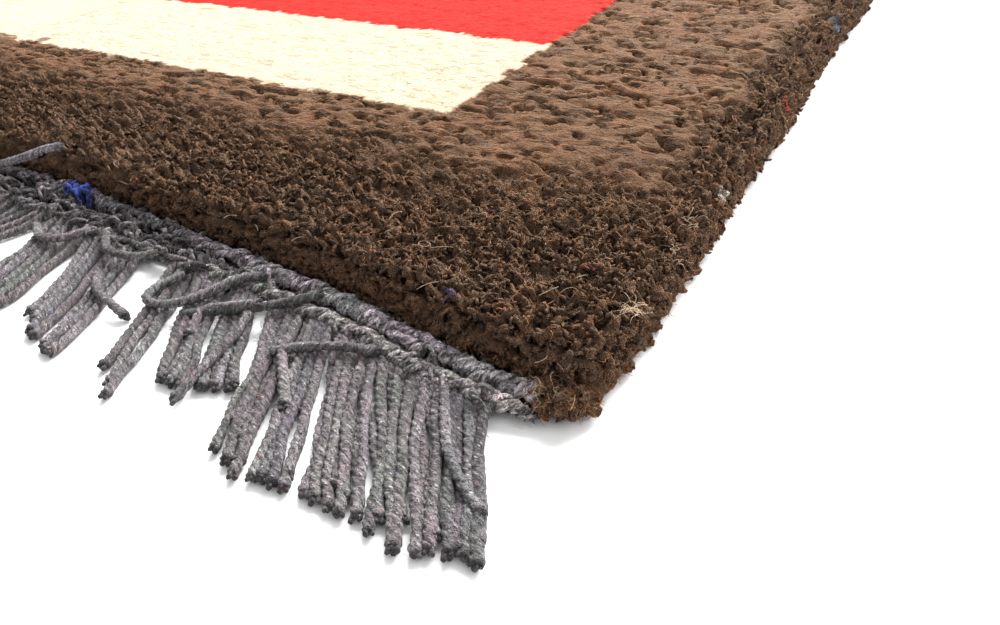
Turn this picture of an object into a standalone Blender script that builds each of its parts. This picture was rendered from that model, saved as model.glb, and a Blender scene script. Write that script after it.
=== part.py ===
"""A hand-knotted wool rug lying flat: thick cut pile with a border, two cross bands and a field,
a bound selvedge along each side, and a twined web with a cord fringe at each end.

Metres, +Z up, resting on Z = 0. X runs across the rug and Y along it. The end at -Y is the near one.
"""

import math
import random

import bmesh
import bpy
from mathutils import Vector, noise

MM = 0.001

PILE_WIDTH = 600 * MM
PILE_LENGTH = 900 * MM
PILE_TOP = 15 * MM
BORDER_SIDE = 84 * MM
BORDER_END = 79 * MM
BAND = 62 * MM

# The rim of the pile, from its top edge round its overhanging tufts to the foot of the foundation:
# inset from the outermost line, height along the sides, height along the ends.
RIM_TOP_INSET = 9 * MM
PILE_RIM = (
    (4.2 * MM, 14.2 * MM, 13.8 * MM),
    (1.3 * MM, 11.8 * MM, 11.0 * MM),
    (0.0 * MM, 8.6 * MM, 7.0 * MM),
    (0.9 * MM, 6.3 * MM, 3.9 * MM),
    (3.0 * MM, 5.9 * MM, 3.4 * MM),
    (8.0 * MM, 5.9 * MM, 3.4 * MM),
    (8.1 * MM, 0.0 * MM, 0.0 * MM),
)
CORNER_ROUNDING = 5 * MM
END_RIM_FADE = (5 * MM, 15 * MM)
TOP_LUMP = 0.45 * MM
TOP_LUMP_PITCH = 55 * MM
RIM_LUMP = 0.5 * MM
RIM_LUMP_INSET = 2.0 * MM
RIM_LUMP_HEIGHT = 6.1 * MM

# Cells of the pile's top, counted from each edge: fine at the rim, even in the middle.
RIM_STATIONS = (9 * MM, 11 * MM, 14 * MM, 20 * MM, 32 * MM, 54 * MM)
MIDDLE_COLUMNS = 12
FIELD_ROWS = 16

# Where each end of the pile and its web run, by distance from the right-hand side:
# distance, pile edge drawn in from the full length, width of the web that shows.
NEAR_END = (
    (0 * MM, 0.0 * MM, 8.5 * MM),
    (25 * MM, 0.8 * MM, 10.0 * MM),
    (60 * MM, 6.8 * MM, 10.5 * MM),
    (85 * MM, 9.5 * MM, 11.0 * MM),
    (120 * MM, 12.6 * MM, 14.0 * MM),
    (165 * MM, 16.0 * MM, 15.0 * MM),
    (215 * MM, 17.5 * MM, 15.0 * MM),
    (330 * MM, 16.0 * MM, 14.0 * MM),
    (460 * MM, 11.0 * MM, 13.0 * MM),
    (600 * MM, 4.0 * MM, 9.0 * MM),
)
FAR_END = (
    (0 * MM, 3.0 * MM, 9.0 * MM),
    (150 * MM, 7.0 * MM, 12.0 * MM),
    (330 * MM, 4.0 * MM, 13.0 * MM),
    (470 * MM, 7.5 * MM, 12.0 * MM),
    (600 * MM, 1.0 * MM, 9.0 * MM),
)

SIDE_WAVER = 0.7 * MM
SIDE_WAVER_PITCH = 260 * MM

SELVEDGE_WIDTH = 7.0 * MM
SELVEDGE_HEIGHT = 5.3 * MM
SELVEDGE_INSET = 3.9 * MM
SELVEDGE_PAST_END = 3.0 * MM
SELVEDGE_POINTS = 27

# Section of the web, a flat strip under the pile's lip with a thicker twined band outside it:
# share of the visible width past the pile's edge, distance added to that, height.
WEB_SECTION = (
    (0.00, -7.3 * MM, 2.9 * MM),
    (0.00, 0.6 * MM, 3.0 * MM),
    (0.50, -1.6 * MM, 3.9 * MM),
    (1.00, -3.0 * MM, 4.3 * MM),
    (1.00, 0.0 * MM, 2.4 * MM),
)
WEB_FOOT = 1.0 * MM
WEB_SIDE_CLEARANCE = 8.2 * MM
WEB_COLUMNS = 44
WEB_LUMP = 0.25 * MM

STRAND_THICKNESS = 1.7 * MM
STRAND_SIDES_RESOLUTION = 0
STRAND_ROOT_DEPTH = 2.5 * MM
STRAND_GAP = 2.4 * MM
STRAND_ROOT_RISE = 0.3 * MM
STRAND_ROOT_LEAD = 0.12
STRAND_UNEVEN = 0.9 * MM
STRANDS_AN_END = 138
FREE_LENGTH = (29 * MM, 36.5 * MM)
LOCK_SIZES = (3, 4, 4, 5, 6)
LOCK_PARTING = 1.9
LOCK_GAP = 5 * MM
LOCK_LEAN = 7 * MM
LOCK_LEAN_PITCH = 330 * MM
LOCK_STRAY = 1.5 * MM
FAR_FIRST_ROOT = 14 * MM
LAST_ROOT_INSET = 6 * MM

# Locks of fringe at the near end, from the right-hand corner: first and last root from the side,
# strands, first and last tip from the side, reach of the first and last tip past the full length,
# sideways bow of the middle.
NEAR_LOCKS = (
    (19.5 * MM, 44.0 * MM, 8, 3.0 * MM, 21.0 * MM, 38.5 * MM, 42.0 * MM, 0.0 * MM),
    (48.0 * MM, 57.0 * MM, 4, 25.5 * MM, 34.5 * MM, 39.5 * MM, 41.0 * MM, 0.0 * MM),
    (61.5 * MM, 67.0 * MM, 3, 40.0 * MM, 47.0 * MM, 40.5 * MM, 41.5 * MM, 0.0 * MM),
    (70.5 * MM, 77.5 * MM, 3, 50.5 * MM, 58.5 * MM, 43.5 * MM, 39.0 * MM, 0.0 * MM),
    (85.0 * MM, 91.0 * MM, 3, 68.0 * MM, 74.0 * MM, 26.5 * MM, 29.0 * MM, 0.0 * MM),
    (97.0 * MM, 103.5 * MM, 3, 77.5 * MM, 84.0 * MM, 31.5 * MM, 31.0 * MM, 1.0 * MM),
    (107.5 * MM, 114.0 * MM, 3, 90.5 * MM, 98.5 * MM, 38.5 * MM, 34.5 * MM, 0.5 * MM),
    (127.0 * MM, 132.5 * MM, 3, 112.5 * MM, 118.0 * MM, 35.0 * MM, 35.0 * MM, 1.0 * MM),
    (137.0 * MM, 147.5 * MM, 4, 122.0 * MM, 132.5 * MM, 34.0 * MM, 29.0 * MM, 1.0 * MM),
    (151.0 * MM, 165.0 * MM, 5, 142.0 * MM, 157.0 * MM, 30.0 * MM, 26.0 * MM, 1.0 * MM),
)

WELD_DISTANCE = 0.01 * MM

WOOL_BROWN = (0.075, 0.045, 0.030, 1.0)
WOOL_CREAM = (0.78, 0.70, 0.53, 1.0)
WOOL_RED = (0.62, 0.030, 0.022, 1.0)
SELVEDGE_BROWN = (0.085, 0.052, 0.035, 1.0)
YARN_GREY = (0.17, 0.165, 0.18, 1.0)
WOOL_ROUGHNESS = 0.95


def clear_scene():
    for thing in list(bpy.data.objects):
        bpy.data.objects.remove(thing, do_unlink=True)


def collection(name):
    made = bpy.data.collections.new(name)
    bpy.context.scene.collection.children.link(made)
    return made


def wool(name, colour):
    material = bpy.data.materials.new(name)
    material.use_nodes = True
    shader = material.node_tree.nodes["Principled BSDF"]
    shader.inputs["Base Color"].default_value = colour
    shader.inputs["Roughness"].default_value = WOOL_ROUGHNESS
    shader.inputs["Metallic"].default_value = 0.0
    return material


def add_object(name, data, materials, group):
    made = bpy.data.objects.new(name, data)
    for material in materials:
        data.materials.append(material)
    group.objects.link(made)
    return made


def along(rows, distance, column):
    """Reads one column of a table at a distance, on a smooth curve through its rows."""
    last = len(rows) - 2
    at = next((i for i in range(last) if distance < rows[i + 1][0]), last)
    before, start = rows[max(at - 1, 0)], rows[at]
    end, after = rows[at + 1], rows[min(at + 2, len(rows) - 1)]
    span = end[0] - start[0]
    share = min(max((distance - start[0]) / span, 0.0), 1.0)
    slope_in = span * (end[column] - before[column]) / (end[0] - before[0])
    slope_out = span * (after[column] - start[column]) / (after[0] - start[0])
    square, cube = share**2, share**3
    return (
        (2 * cube - 3 * square + 1) * start[column]
        + (cube - 2 * square + share) * slope_in
        + (3 * square - 2 * cube) * end[column]
        + (cube - square) * slope_out
    )


def end_rows(end):
    return NEAR_END if end < 0 else FAR_END


def side_x(side, y):
    """The outermost line of the pile on one side, at a place along the rug."""
    turn = 2 * math.pi * (y + PILE_LENGTH / 2) / SIDE_WAVER_PITCH
    waver = SIDE_WAVER * math.sin(turn) + 0.5 * SIDE_WAVER * math.sin(2.3 * turn * side)
    return side * PILE_WIDTH / 2 + waver


def end_y(end, x):
    """The outermost line of the pile at one end, at a place across the rug."""
    from_right = PILE_WIDTH / 2 - x
    return end * (PILE_LENGTH / 2 - along(end_rows(end), from_right, 1))


def web_width(end, x):
    return along(end_rows(end), PILE_WIDTH / 2 - x, 2)


def fade(value, low, high):
    share = min(max((value - low) / (high - low), 0.0), 1.0)
    return share * share * (3 - 2 * share)


def edge_pull(inset, border):
    """How much of an edge's unevenness reaches a place: all of it in the rim, none past the border."""
    return min(max(1 - (inset - RIM_TOP_INSET) / (border - RIM_TOP_INSET), 0.0), 1.0)


def on_rug(x, y):
    """Bends a place in the plain rectangle to the rug's uneven sides and ends."""
    side, end = math.copysign(1, x), math.copysign(1, y)
    side_pull = edge_pull(PILE_WIDTH / 2 - abs(x), BORDER_SIDE)
    end_pull = edge_pull(PILE_LENGTH / 2 - abs(y), BORDER_END)
    return (
        x + side_pull * (side_x(side, y) - side * PILE_WIDTH / 2),
        y + end_pull * (end_y(end, x) - end * PILE_LENGTH / 2),
    )


def top_height(x, y):
    place = Vector((x, y, 0.0)) / TOP_LUMP_PITCH
    return PILE_TOP + TOP_LUMP * (noise.noise(place) - 0.5)


def stations(size, edge_lines, cells_between):
    """Grid lines from one edge to the other: the given insets at both, and even cells between."""
    outer = [size / 2 - inset for inset in edge_lines]
    reach = outer.pop()
    middle = [reach * (2 * i / cells_between - 1) for i in range(cells_between + 1)]
    return [-value for value in outer] + middle + outer[::-1]


def rim_direction(x, y):
    """Outward direction at a place on the edge of the pile's top, turning by 45 degrees at a corner."""
    to_side = PILE_WIDTH / 2 - RIM_TOP_INSET - abs(x)
    to_end = PILE_LENGTH / 2 - RIM_TOP_INSET - abs(y)
    turn = math.radians(45) * max(0.0, 1 - max(to_side, to_end) / CORNER_ROUNDING)
    if to_side > to_end:
        turn = math.radians(90) - turn
    return math.copysign(math.cos(turn), x), math.copysign(math.sin(turn), y)


def end_share(x, y):
    """0 where the rim has its side heights, 1 where it has its end heights."""
    to_side = PILE_WIDTH / 2 - RIM_TOP_INSET - abs(x)
    return fade(to_side, *END_RIM_FADE)


def pile_zone(x, y):
    inside = abs(x) < PILE_WIDTH / 2 - BORDER_SIDE
    from_end = PILE_LENGTH / 2 - abs(y)
    if not inside or from_end < BORDER_END:
        return 0
    return 1 if from_end < BORDER_END + BAND else 2


def make_pile(group, materials):
    """The knotted pile with its foundation: one flat slab with a lumpy top and a tufted rim."""
    chance = random.Random(11)
    xs = stations(PILE_WIDTH, (*RIM_STATIONS, BORDER_SIDE), MIDDLE_COLUMNS)
    band_middle = BORDER_END + BAND / 2
    ys = stations(PILE_LENGTH, (*RIM_STATIONS, BORDER_END, band_middle, BORDER_END + BAND), FIELD_ROWS)
    body = bmesh.new()
    plain = body.verts.layers.float_vector.new("plain")
    bmesh.ops.create_grid(body, x_segments=len(xs) - 1, y_segments=len(ys) - 1, size=1.0)
    body.verts.ensure_lookup_table()
    for index, vertex in enumerate(body.verts):
        x, y = xs[index % len(xs)], ys[index // len(xs)]
        vertex[plain] = (x, y, 0.0)
        vertex.co = (*on_rug(x, y), top_height(x, y))
    for face in body.faces:
        centre = sum((vertex[plain] for vertex in face.verts), Vector()) / len(face.verts)
        face.material_index = pile_zone(centre.x, centre.y)
    rim = [edge for edge in body.edges if edge.is_boundary]
    for inset, side_height, end_height in PILE_RIM:
        made = bmesh.ops.extrude_edge_only(body, edges=rim)["geom"]
        rim = [item for item in made if isinstance(item, bmesh.types.BMEdge) and item.is_boundary]
        for vertex in [item for item in made if isinstance(item, bmesh.types.BMVert)]:
            x, y, _ = vertex[plain]
            out_x, out_y = rim_direction(x, y)
            height = side_height + (end_height - side_height) * end_share(x, y)
            tufted = inset < RIM_LUMP_INSET and height > RIM_LUMP_HEIGHT
            lump = chance.uniform(0, RIM_LUMP) if tufted else 0.0
            out = RIM_TOP_INSET - inset - lump
            vertex.co = (*on_rug(x + out * out_x, y + out * out_y), height)
    bmesh.ops.contextual_create(body, geom=rim)
    bmesh.ops.recalc_face_normals(body, faces=body.faces)
    data = bpy.data.meshes.new("pile")
    body.to_mesh(data)
    body.free()
    return add_object("pile", data, materials, group)


def make_selvedge(name, side, group, material):
    """The outermost warps, bound with brown wool: a flattened cord under the pile's overhang."""
    curve = bpy.data.curves.new(name, "CURVE")
    curve.dimensions = "3D"
    curve.bevel_depth = SELVEDGE_WIDTH / 2
    curve.bevel_resolution = 2
    curve.use_fill_caps = True
    flatten = SELVEDGE_HEIGHT / SELVEDGE_WIDTH
    x_of_end = side * (PILE_WIDTH / 2 - SELVEDGE_INSET)
    start = end_y(-1, x_of_end) - SELVEDGE_PAST_END
    stop = end_y(1, x_of_end) + SELVEDGE_PAST_END
    line = curve.splines.new("POLY")
    line.points.add(SELVEDGE_POINTS - 1)
    for i, point in enumerate(line.points):
        y = start + (stop - start) * i / (SELVEDGE_POINTS - 1)
        x = side_x(side, y) - side * SELVEDGE_INSET
        point.co = (x, y, SELVEDGE_WIDTH / 2, 1.0)
    made = add_object(name, curve, [material], group)
    made.scale.z = flatten
    return made


def web_place(end, x, share, added):
    """A place on the web, by its distance out from the pile's edge line."""
    out = share * web_width(end, x) + added
    return x, end_y(end, x) + end * out


def make_web(name, end, group, material):
    """The end web as a strip: its upper side is a grid on the section, closed down to a flat foot."""
    chance = random.Random(23 + end)
    half = PILE_WIDTH / 2 - WEB_SIDE_CLEARANCE
    body = bmesh.new()
    bmesh.ops.create_grid(body, x_segments=WEB_COLUMNS, y_segments=len(WEB_SECTION) - 1, size=1.0)
    body.verts.ensure_lookup_table()
    for index, vertex in enumerate(body.verts):
        row, column = divmod(index, WEB_COLUMNS + 1)
        x = -half + 2 * half * column / WEB_COLUMNS
        share, added, height = WEB_SECTION[row]
        lump = chance.uniform(-WEB_LUMP, WEB_LUMP) if row >= 2 else 0.0
        vertex.co = (*web_place(end, x, share, added + lump), height + lump)
    rim = [edge for edge in body.edges if edge.is_boundary]
    made = bmesh.ops.extrude_edge_only(body, edges=rim)["geom"]
    rim = [item for item in made if isinstance(item, bmesh.types.BMEdge) and item.is_boundary]
    for vertex in [item for item in made if isinstance(item, bmesh.types.BMVert)]:
        vertex.co.z = 0.0
    bmesh.ops.contextual_create(body, geom=rim)
    bmesh.ops.recalc_face_normals(body, faces=body.faces)
    data = bpy.data.meshes.new(name)
    body.to_mesh(data)
    body.free()
    return add_object(name, data, [material], group)


def spread(first, last, count, index):
    share = index / (count - 1) if count > 1 else 0.5
    return first + (last - first) * share


def plain_locks(end, first_root, first_tip, strands, seed):
    """Locks of fringe that the table doesn't list, in like sizes, up to a number of strands."""
    chance = random.Random(seed)
    sizes = []
    while sum(sizes) < strands:
        sizes.append(min(chance.choice(LOCK_SIZES), strands - sum(sizes)))
    last_root = PILE_WIDTH - WEB_SIDE_CLEARANCE - LAST_ROOT_INSET
    pitch = (last_root - first_root) / (strands + (LOCK_PARTING - 1) * len(sizes))
    root, tip_limit = first_root, first_tip
    locks = []
    for size in sizes:
        root_end = root + pitch * (size - 1)
        middle = (root + root_end) / 2
        lean = LOCK_LEAN * math.cos(2 * math.pi * middle / LOCK_LEAN_PITCH) + chance.uniform(-1, 1) * LOCK_STRAY
        tip = max(root - lean, tip_limit)
        tip_end = tip + max(STRAND_GAP * (size - 1), root_end - root)
        web_edge = along(end_rows(end), middle, 2) - along(end_rows(end), middle, 1)
        reach = web_edge + chance.uniform(*FREE_LENGTH)
        slope, bow = chance.uniform(-1, 1) * LOCK_STRAY, chance.uniform(-1, 1) * LOCK_STRAY
        locks.append((root, root_end, size, tip, tip_end, reach - slope, reach + slope, bow))
        tip_limit = tip_end + STRAND_GAP
        root = root_end + LOCK_PARTING * pitch
    return locks


def all_locks(end):
    if end > 0:
        return plain_locks(end, FAR_FIRST_ROOT, FAR_FIRST_ROOT - LOCK_LEAN, STRANDS_AN_END, 5)
    listed = sum(lock[2] for lock in NEAR_LOCKS)
    root, tip = NEAR_LOCKS[-1][1] + LOCK_GAP, NEAR_LOCKS[-1][4] + LOCK_GAP
    return list(NEAR_LOCKS) + plain_locks(end, root, tip, STRANDS_AN_END - listed, 8)


def strand_route(end, root, tip, reach, bow, steps):
    """Centre line of one strand: from inside the web, down to the floor and out along it."""
    half = STRAND_THICKNESS / 2
    root_x, tip_x = PILE_WIDTH / 2 - root, PILE_WIDTH / 2 - tip
    web_edge = end_y(end, root_x) + end * web_width(end, root_x)
    tip_y = end * (PILE_LENGTH / 2 + reach)
    points = [(root_x, web_edge - end * STRAND_ROOT_DEPTH, WEB_FOOT + half)]
    for share in (STRAND_ROOT_LEAD, *((i + 1) / steps for i in range(steps))):
        x = root_x + (tip_x - root_x) * share + 4 * bow * share * (1 - share)
        y = web_edge + (tip_y - web_edge) * share
        rise = STRAND_ROOT_RISE if share == STRAND_ROOT_LEAD else 0.0
        points.append((x, y, half + rise))
    return points


def make_strands(name, end, group, material):
    """Every strand of one end as four-sided tubes, made a mesh so that the web can take them in."""
    curve = bpy.data.curves.new(name, "CURVE")
    curve.dimensions = "3D"
    curve.bevel_depth = STRAND_THICKNESS / 2
    curve.bevel_resolution = STRAND_SIDES_RESOLUTION
    curve.use_fill_caps = True
    chance = random.Random(31 + end)
    for number, lock in enumerate(all_locks(end)):
        first_root, last_root, count, first_tip, last_tip, first_reach, last_reach, bow = lock
        steps = 3 if end < 0 and number < len(NEAR_LOCKS) else 2
        for i in range(count):
            root = spread(first_root, last_root, count, i)
            tip = spread(first_tip, last_tip, count, i)
            reach = spread(first_reach, last_reach, count, i) + chance.uniform(-1, 1) * STRAND_UNEVEN
            route = strand_route(end, root, tip, reach, bow, steps)
            line = curve.splines.new("POLY")
            line.points.add(len(route) - 1)
            for point, place in zip(line.points, route):
                point.co = (*place, 1.0)
    holder = add_object(name, curve, [material], group)
    depsgraph = bpy.context.evaluated_depsgraph_get()
    data = bpy.data.meshes.new_from_object(holder.evaluated_get(depsgraph))
    place = holder.matrix_world.copy()
    bpy.data.objects.remove(holder, do_unlink=True)
    body = bmesh.new()
    body.from_mesh(data)
    bmesh.ops.remove_doubles(body, verts=body.verts, dist=WELD_DISTANCE)
    bmesh.ops.recalc_face_normals(body, faces=body.faces)
    body.to_mesh(data)
    body.free()
    made = add_object(name, data, [], group)
    made.matrix_world = place
    made.hide_render = True
    made.display_type = "WIRE"
    return made


def make_end(name, end, group, cutters, material):
    """One end web with its fringe, whose roots are fused into it."""
    web = make_web(name, end, group, material)
    strands = make_strands(name + "_strands", end, cutters, material)
    join = web.modifiers.new("strands", "BOOLEAN")
    join.operation = "UNION"
    join.solver = "EXACT"
    join.object = strands
    return web


def main():
    clear_scene()
    rug = collection("knotted_rug")
    cutters = collection("cutters")
    zones = (("pile_border", WOOL_BROWN), ("pile_band", WOOL_CREAM), ("pile_field", WOOL_RED))
    make_pile(rug, [wool(name, colour) for name, colour in zones])
    for side, name in ((-1, "selvedge_left"), (1, "selvedge_right")):
        make_selvedge(name, side, rug, wool(name, SELVEDGE_BROWN))
    for end, name in ((-1, "fringe_near"), (1, "fringe_far")):
        make_end(name, end, rug, cutters, wool(name, YARN_GREY))


main()
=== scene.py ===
"""The looks of a hand-knotted wool rug: its cut pile, bound sides, twined end webs and cord fringe.

Lengths are in millimetres until a mesh is made. X runs across the rug and Y along it, the end at -Y is the
near one, and the corner that the camera sees is at +X, -Y.
"""

import itertools
import math
import random

import bmesh
import bpy
import numpy as np
from mathutils import Matrix, Vector, noise

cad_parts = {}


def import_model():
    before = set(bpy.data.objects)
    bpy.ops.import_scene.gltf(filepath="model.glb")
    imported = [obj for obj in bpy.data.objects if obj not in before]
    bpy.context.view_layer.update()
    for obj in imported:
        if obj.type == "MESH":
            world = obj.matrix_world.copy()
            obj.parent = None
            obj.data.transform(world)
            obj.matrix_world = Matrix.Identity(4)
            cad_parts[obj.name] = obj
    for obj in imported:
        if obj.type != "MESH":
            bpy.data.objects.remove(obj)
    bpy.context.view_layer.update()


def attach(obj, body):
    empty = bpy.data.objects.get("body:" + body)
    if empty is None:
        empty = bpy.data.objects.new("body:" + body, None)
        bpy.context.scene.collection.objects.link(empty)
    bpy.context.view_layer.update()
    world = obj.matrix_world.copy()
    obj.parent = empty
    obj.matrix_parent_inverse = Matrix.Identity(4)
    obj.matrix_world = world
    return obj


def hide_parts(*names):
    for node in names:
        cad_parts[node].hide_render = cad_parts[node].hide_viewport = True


MM = 0.001
FLOOR_CLEARANCE = 0.05

# The rug's outline, as its solids have it.
PILE_WIDTH = 600
PILE_LENGTH = 900
PILE_TOP = 15
BORDER_SIDE = 84
BORDER_END = 79
BAND = 62
TOP_LUMP = 0.45
TOP_LUMP_PITCH = 55
SIDE_WAVER = 0.7
SIDE_WAVER_PITCH = 260

# The wool over the rim of the pile: inset from the outermost line, height along the sides and ends.
RIM_TOP_INSET = 9
WOOL_RIM = (
    (7.3, 14.3, 14.3),
    (4.2, 13.9, 13.5),
    (1.4, 11.7, 11.0),
    (0.2, 8.7, 7.4),
    (-0.2, 5.4, 5.0),
    (0.3, 2.7, 3.6),
    (2.8, 2.3, 3.9),
)

# Where each end of the pile and its web run, by distance from the right-hand side:
# distance, pile edge drawn in from the full length, width of the web that shows.
NEAR_END = (
    (0, 0.0, 8.5),
    (25, 0.8, 10.0),
    (60, 6.8, 10.5),
    (85, 9.5, 11.0),
    (120, 12.6, 14.0),
    (165, 16.0, 15.0),
    (215, 17.5, 15.0),
    (330, 16.0, 14.0),
    (460, 11.0, 13.0),
    (600, 4.0, 9.0),
)
FAR_END = (
    (0, 3.0, 9.0),
    (150, 7.0, 12.0),
    (330, 4.0, 13.0),
    (470, 7.5, 12.0),
    (600, 1.0, 9.0),
)
WEB_SIDE_CLEARANCE = 8.2

# Locks of fringe at the near end, from the right-hand corner: first and last root from the side,
# strands, first and last tip from the side, reach of the first and last tip past the full length,
# sideways bow of the middle.
NEAR_LOCKS = (
    (19.5, 44.0, 8, 3.0, 21.0, 38.5, 42.0, 0.0),
    (48.0, 57.0, 4, 25.5, 34.5, 39.5, 41.0, 0.0),
    (61.5, 67.0, 3, 40.0, 47.0, 40.5, 41.5, 0.0),
    (70.5, 77.5, 3, 50.5, 58.5, 43.5, 39.0, 0.0),
    (85.0, 91.0, 3, 68.0, 74.0, 26.5, 29.0, 0.0),
    (97.0, 103.5, 3, 77.5, 84.0, 31.5, 31.0, 1.0),
    (107.5, 114.0, 3, 90.5, 98.5, 38.5, 34.5, 0.5),
    (127.0, 132.5, 3, 112.5, 118.0, 35.0, 35.0, 1.0),
    (137.0, 147.5, 4, 122.0, 132.5, 34.0, 29.0, 1.0),
    (151.0, 165.0, 5, 142.0, 157.0, 30.0, 26.0, 1.0),
)
STRANDS_AN_END = 138
STRAND_UNEVEN = 0.9
STRAND_GAP = 2.4
FREE_LENGTH = (29, 36.5)
LOCK_SIZES = (3, 4, 4, 5, 6)
LOCK_PARTING = 1.9
LOCK_GAP = 5
LOCK_LEAN = 7
LOCK_LEAN_PITCH = 330
LOCK_STRAY = 1.5
FAR_FIRST_ROOT = 14
LAST_ROOT_INSET = 6

# The camera, at the photographed corner.
VIEW_AZIMUTH = 33.4
VIEW_PITCH = 36.8
VIEW_ROLL = -5.0
VIEW_FOCAL_SHARE = 0.789
SENSOR = 36.0
VIEW_FROM_CORNER = (43.0, -95.3, 103.5)

# Knots: their rows run across the rug.
ROW_PITCH = 6.2
END_PITCH = 3.3
ROW_WANDER = 0.7
ROW_WANDER_PITCH = 26

BROWN = (0.119, 0.0495, 0.0192)
CREAM = (0.625, 0.435, 0.305)
RED = (0.475, 0.0100, 0.0065)
ZONE_COLOURS = (BROWN, CREAM, RED)
YARN = (0.140, 0.126, 0.129)
PALE = (0.50, 0.38, 0.26)


def scatter(cells, seed):
    """A number from -1 to 1 for each row of whole numbers, always the same for the same row."""
    mix = np.sin(cells @ np.array((12.9898, 78.233, 37.719))[: cells.shape[-1]] + 4.1414 * seed) * 43758.5453
    return 2 * (mix - np.floor(mix)) - 1


def soft_noise(places, pitch, seed):
    """Smooth noise from -1 to 1 with features about a pitch apart, which may differ by axis."""
    at = places / np.asarray(pitch, float)
    cell = np.floor(at)
    share = (at - cell) ** 2 * (3 - 2 * (at - cell))
    total = np.zeros(len(at))
    for corner in itertools.product((0, 1), repeat=at.shape[-1]):
        weight = np.where(corner, share, 1 - share).prod(axis=-1)
        total += weight * scatter(cell + corner, seed)
    return total


def clumps(places, pitch, seed):
    """For each place, its distance from the middle of its clump in pitches, and which clump that is."""
    cell = np.floor(places / pitch)
    nearest, owner = np.full(len(places), np.inf), np.zeros_like(places)
    for step in itertools.product((-1, 0, 1), repeat=3):
        other = cell + step
        shift = np.column_stack([scatter(other, seed), scatter(other, seed + 1), scatter(other, seed + 2)])
        distance = np.linalg.norm(places / pitch - other - 0.5 - 0.36 * shift, axis=1)
        closer = distance < nearest
        nearest = np.where(closer, distance, nearest)
        owner[closer] = other[closer]
    return nearest, owner


def along(rows, distance, column):
    """Reads one column of a table at a distance, on a smooth curve through its rows."""
    last = len(rows) - 2
    at = next((i for i in range(last) if distance < rows[i + 1][0]), last)
    before, start = rows[max(at - 1, 0)], rows[at]
    end, after = rows[at + 1], rows[min(at + 2, len(rows) - 1)]
    span = end[0] - start[0]
    share = min(max((distance - start[0]) / span, 0.0), 1.0)
    slope_in = span * (end[column] - before[column]) / (end[0] - before[0])
    slope_out = span * (after[column] - start[column]) / (after[0] - start[0])
    square, cube = share**2, share**3
    return (
        (2 * cube - 3 * square + 1) * start[column]
        + (cube - 2 * square + share) * slope_in
        + (3 * square - 2 * cube) * end[column]
        + (cube - square) * slope_out
    )


def end_rows(end):
    return NEAR_END if end < 0 else FAR_END


def side_x(side, y):
    """The outermost line of the pile on one side, at a place along the rug."""
    turn = 2 * math.pi * (y + PILE_LENGTH / 2) / SIDE_WAVER_PITCH
    waver = SIDE_WAVER * math.sin(turn) + 0.5 * SIDE_WAVER * math.sin(2.3 * turn * side)
    return side * PILE_WIDTH / 2 + waver


def end_y(end, x):
    """The outermost line of the pile at one end, at a place across the rug."""
    return end * (PILE_LENGTH / 2 - along(end_rows(end), PILE_WIDTH / 2 - x, 1))


def web_width(end, x):
    return along(end_rows(end), PILE_WIDTH / 2 - x, 2)


def edge_pull(inset, border):
    """How much of an edge's unevenness reaches a place: all of it in the rim, none past the border."""
    return min(max(1 - (inset - RIM_TOP_INSET) / (border - RIM_TOP_INSET), 0.0), 1.0)


def on_rug(x, y):
    """Bends a place in the plain rectangle to the rug's uneven sides and ends."""
    side, end = math.copysign(1, x), math.copysign(1, y)
    side_pull = edge_pull(PILE_WIDTH / 2 - abs(x), BORDER_SIDE)
    end_pull = edge_pull(PILE_LENGTH / 2 - abs(y), BORDER_END)
    return (
        x + side_pull * (side_x(side, y) - side * PILE_WIDTH / 2),
        y + end_pull * (end_y(end, x) - end * PILE_LENGTH / 2),
    )


def unit(vectors):
    return vectors / np.maximum(np.linalg.norm(vectors, axis=-1, keepdims=True), 1e-9)


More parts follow.
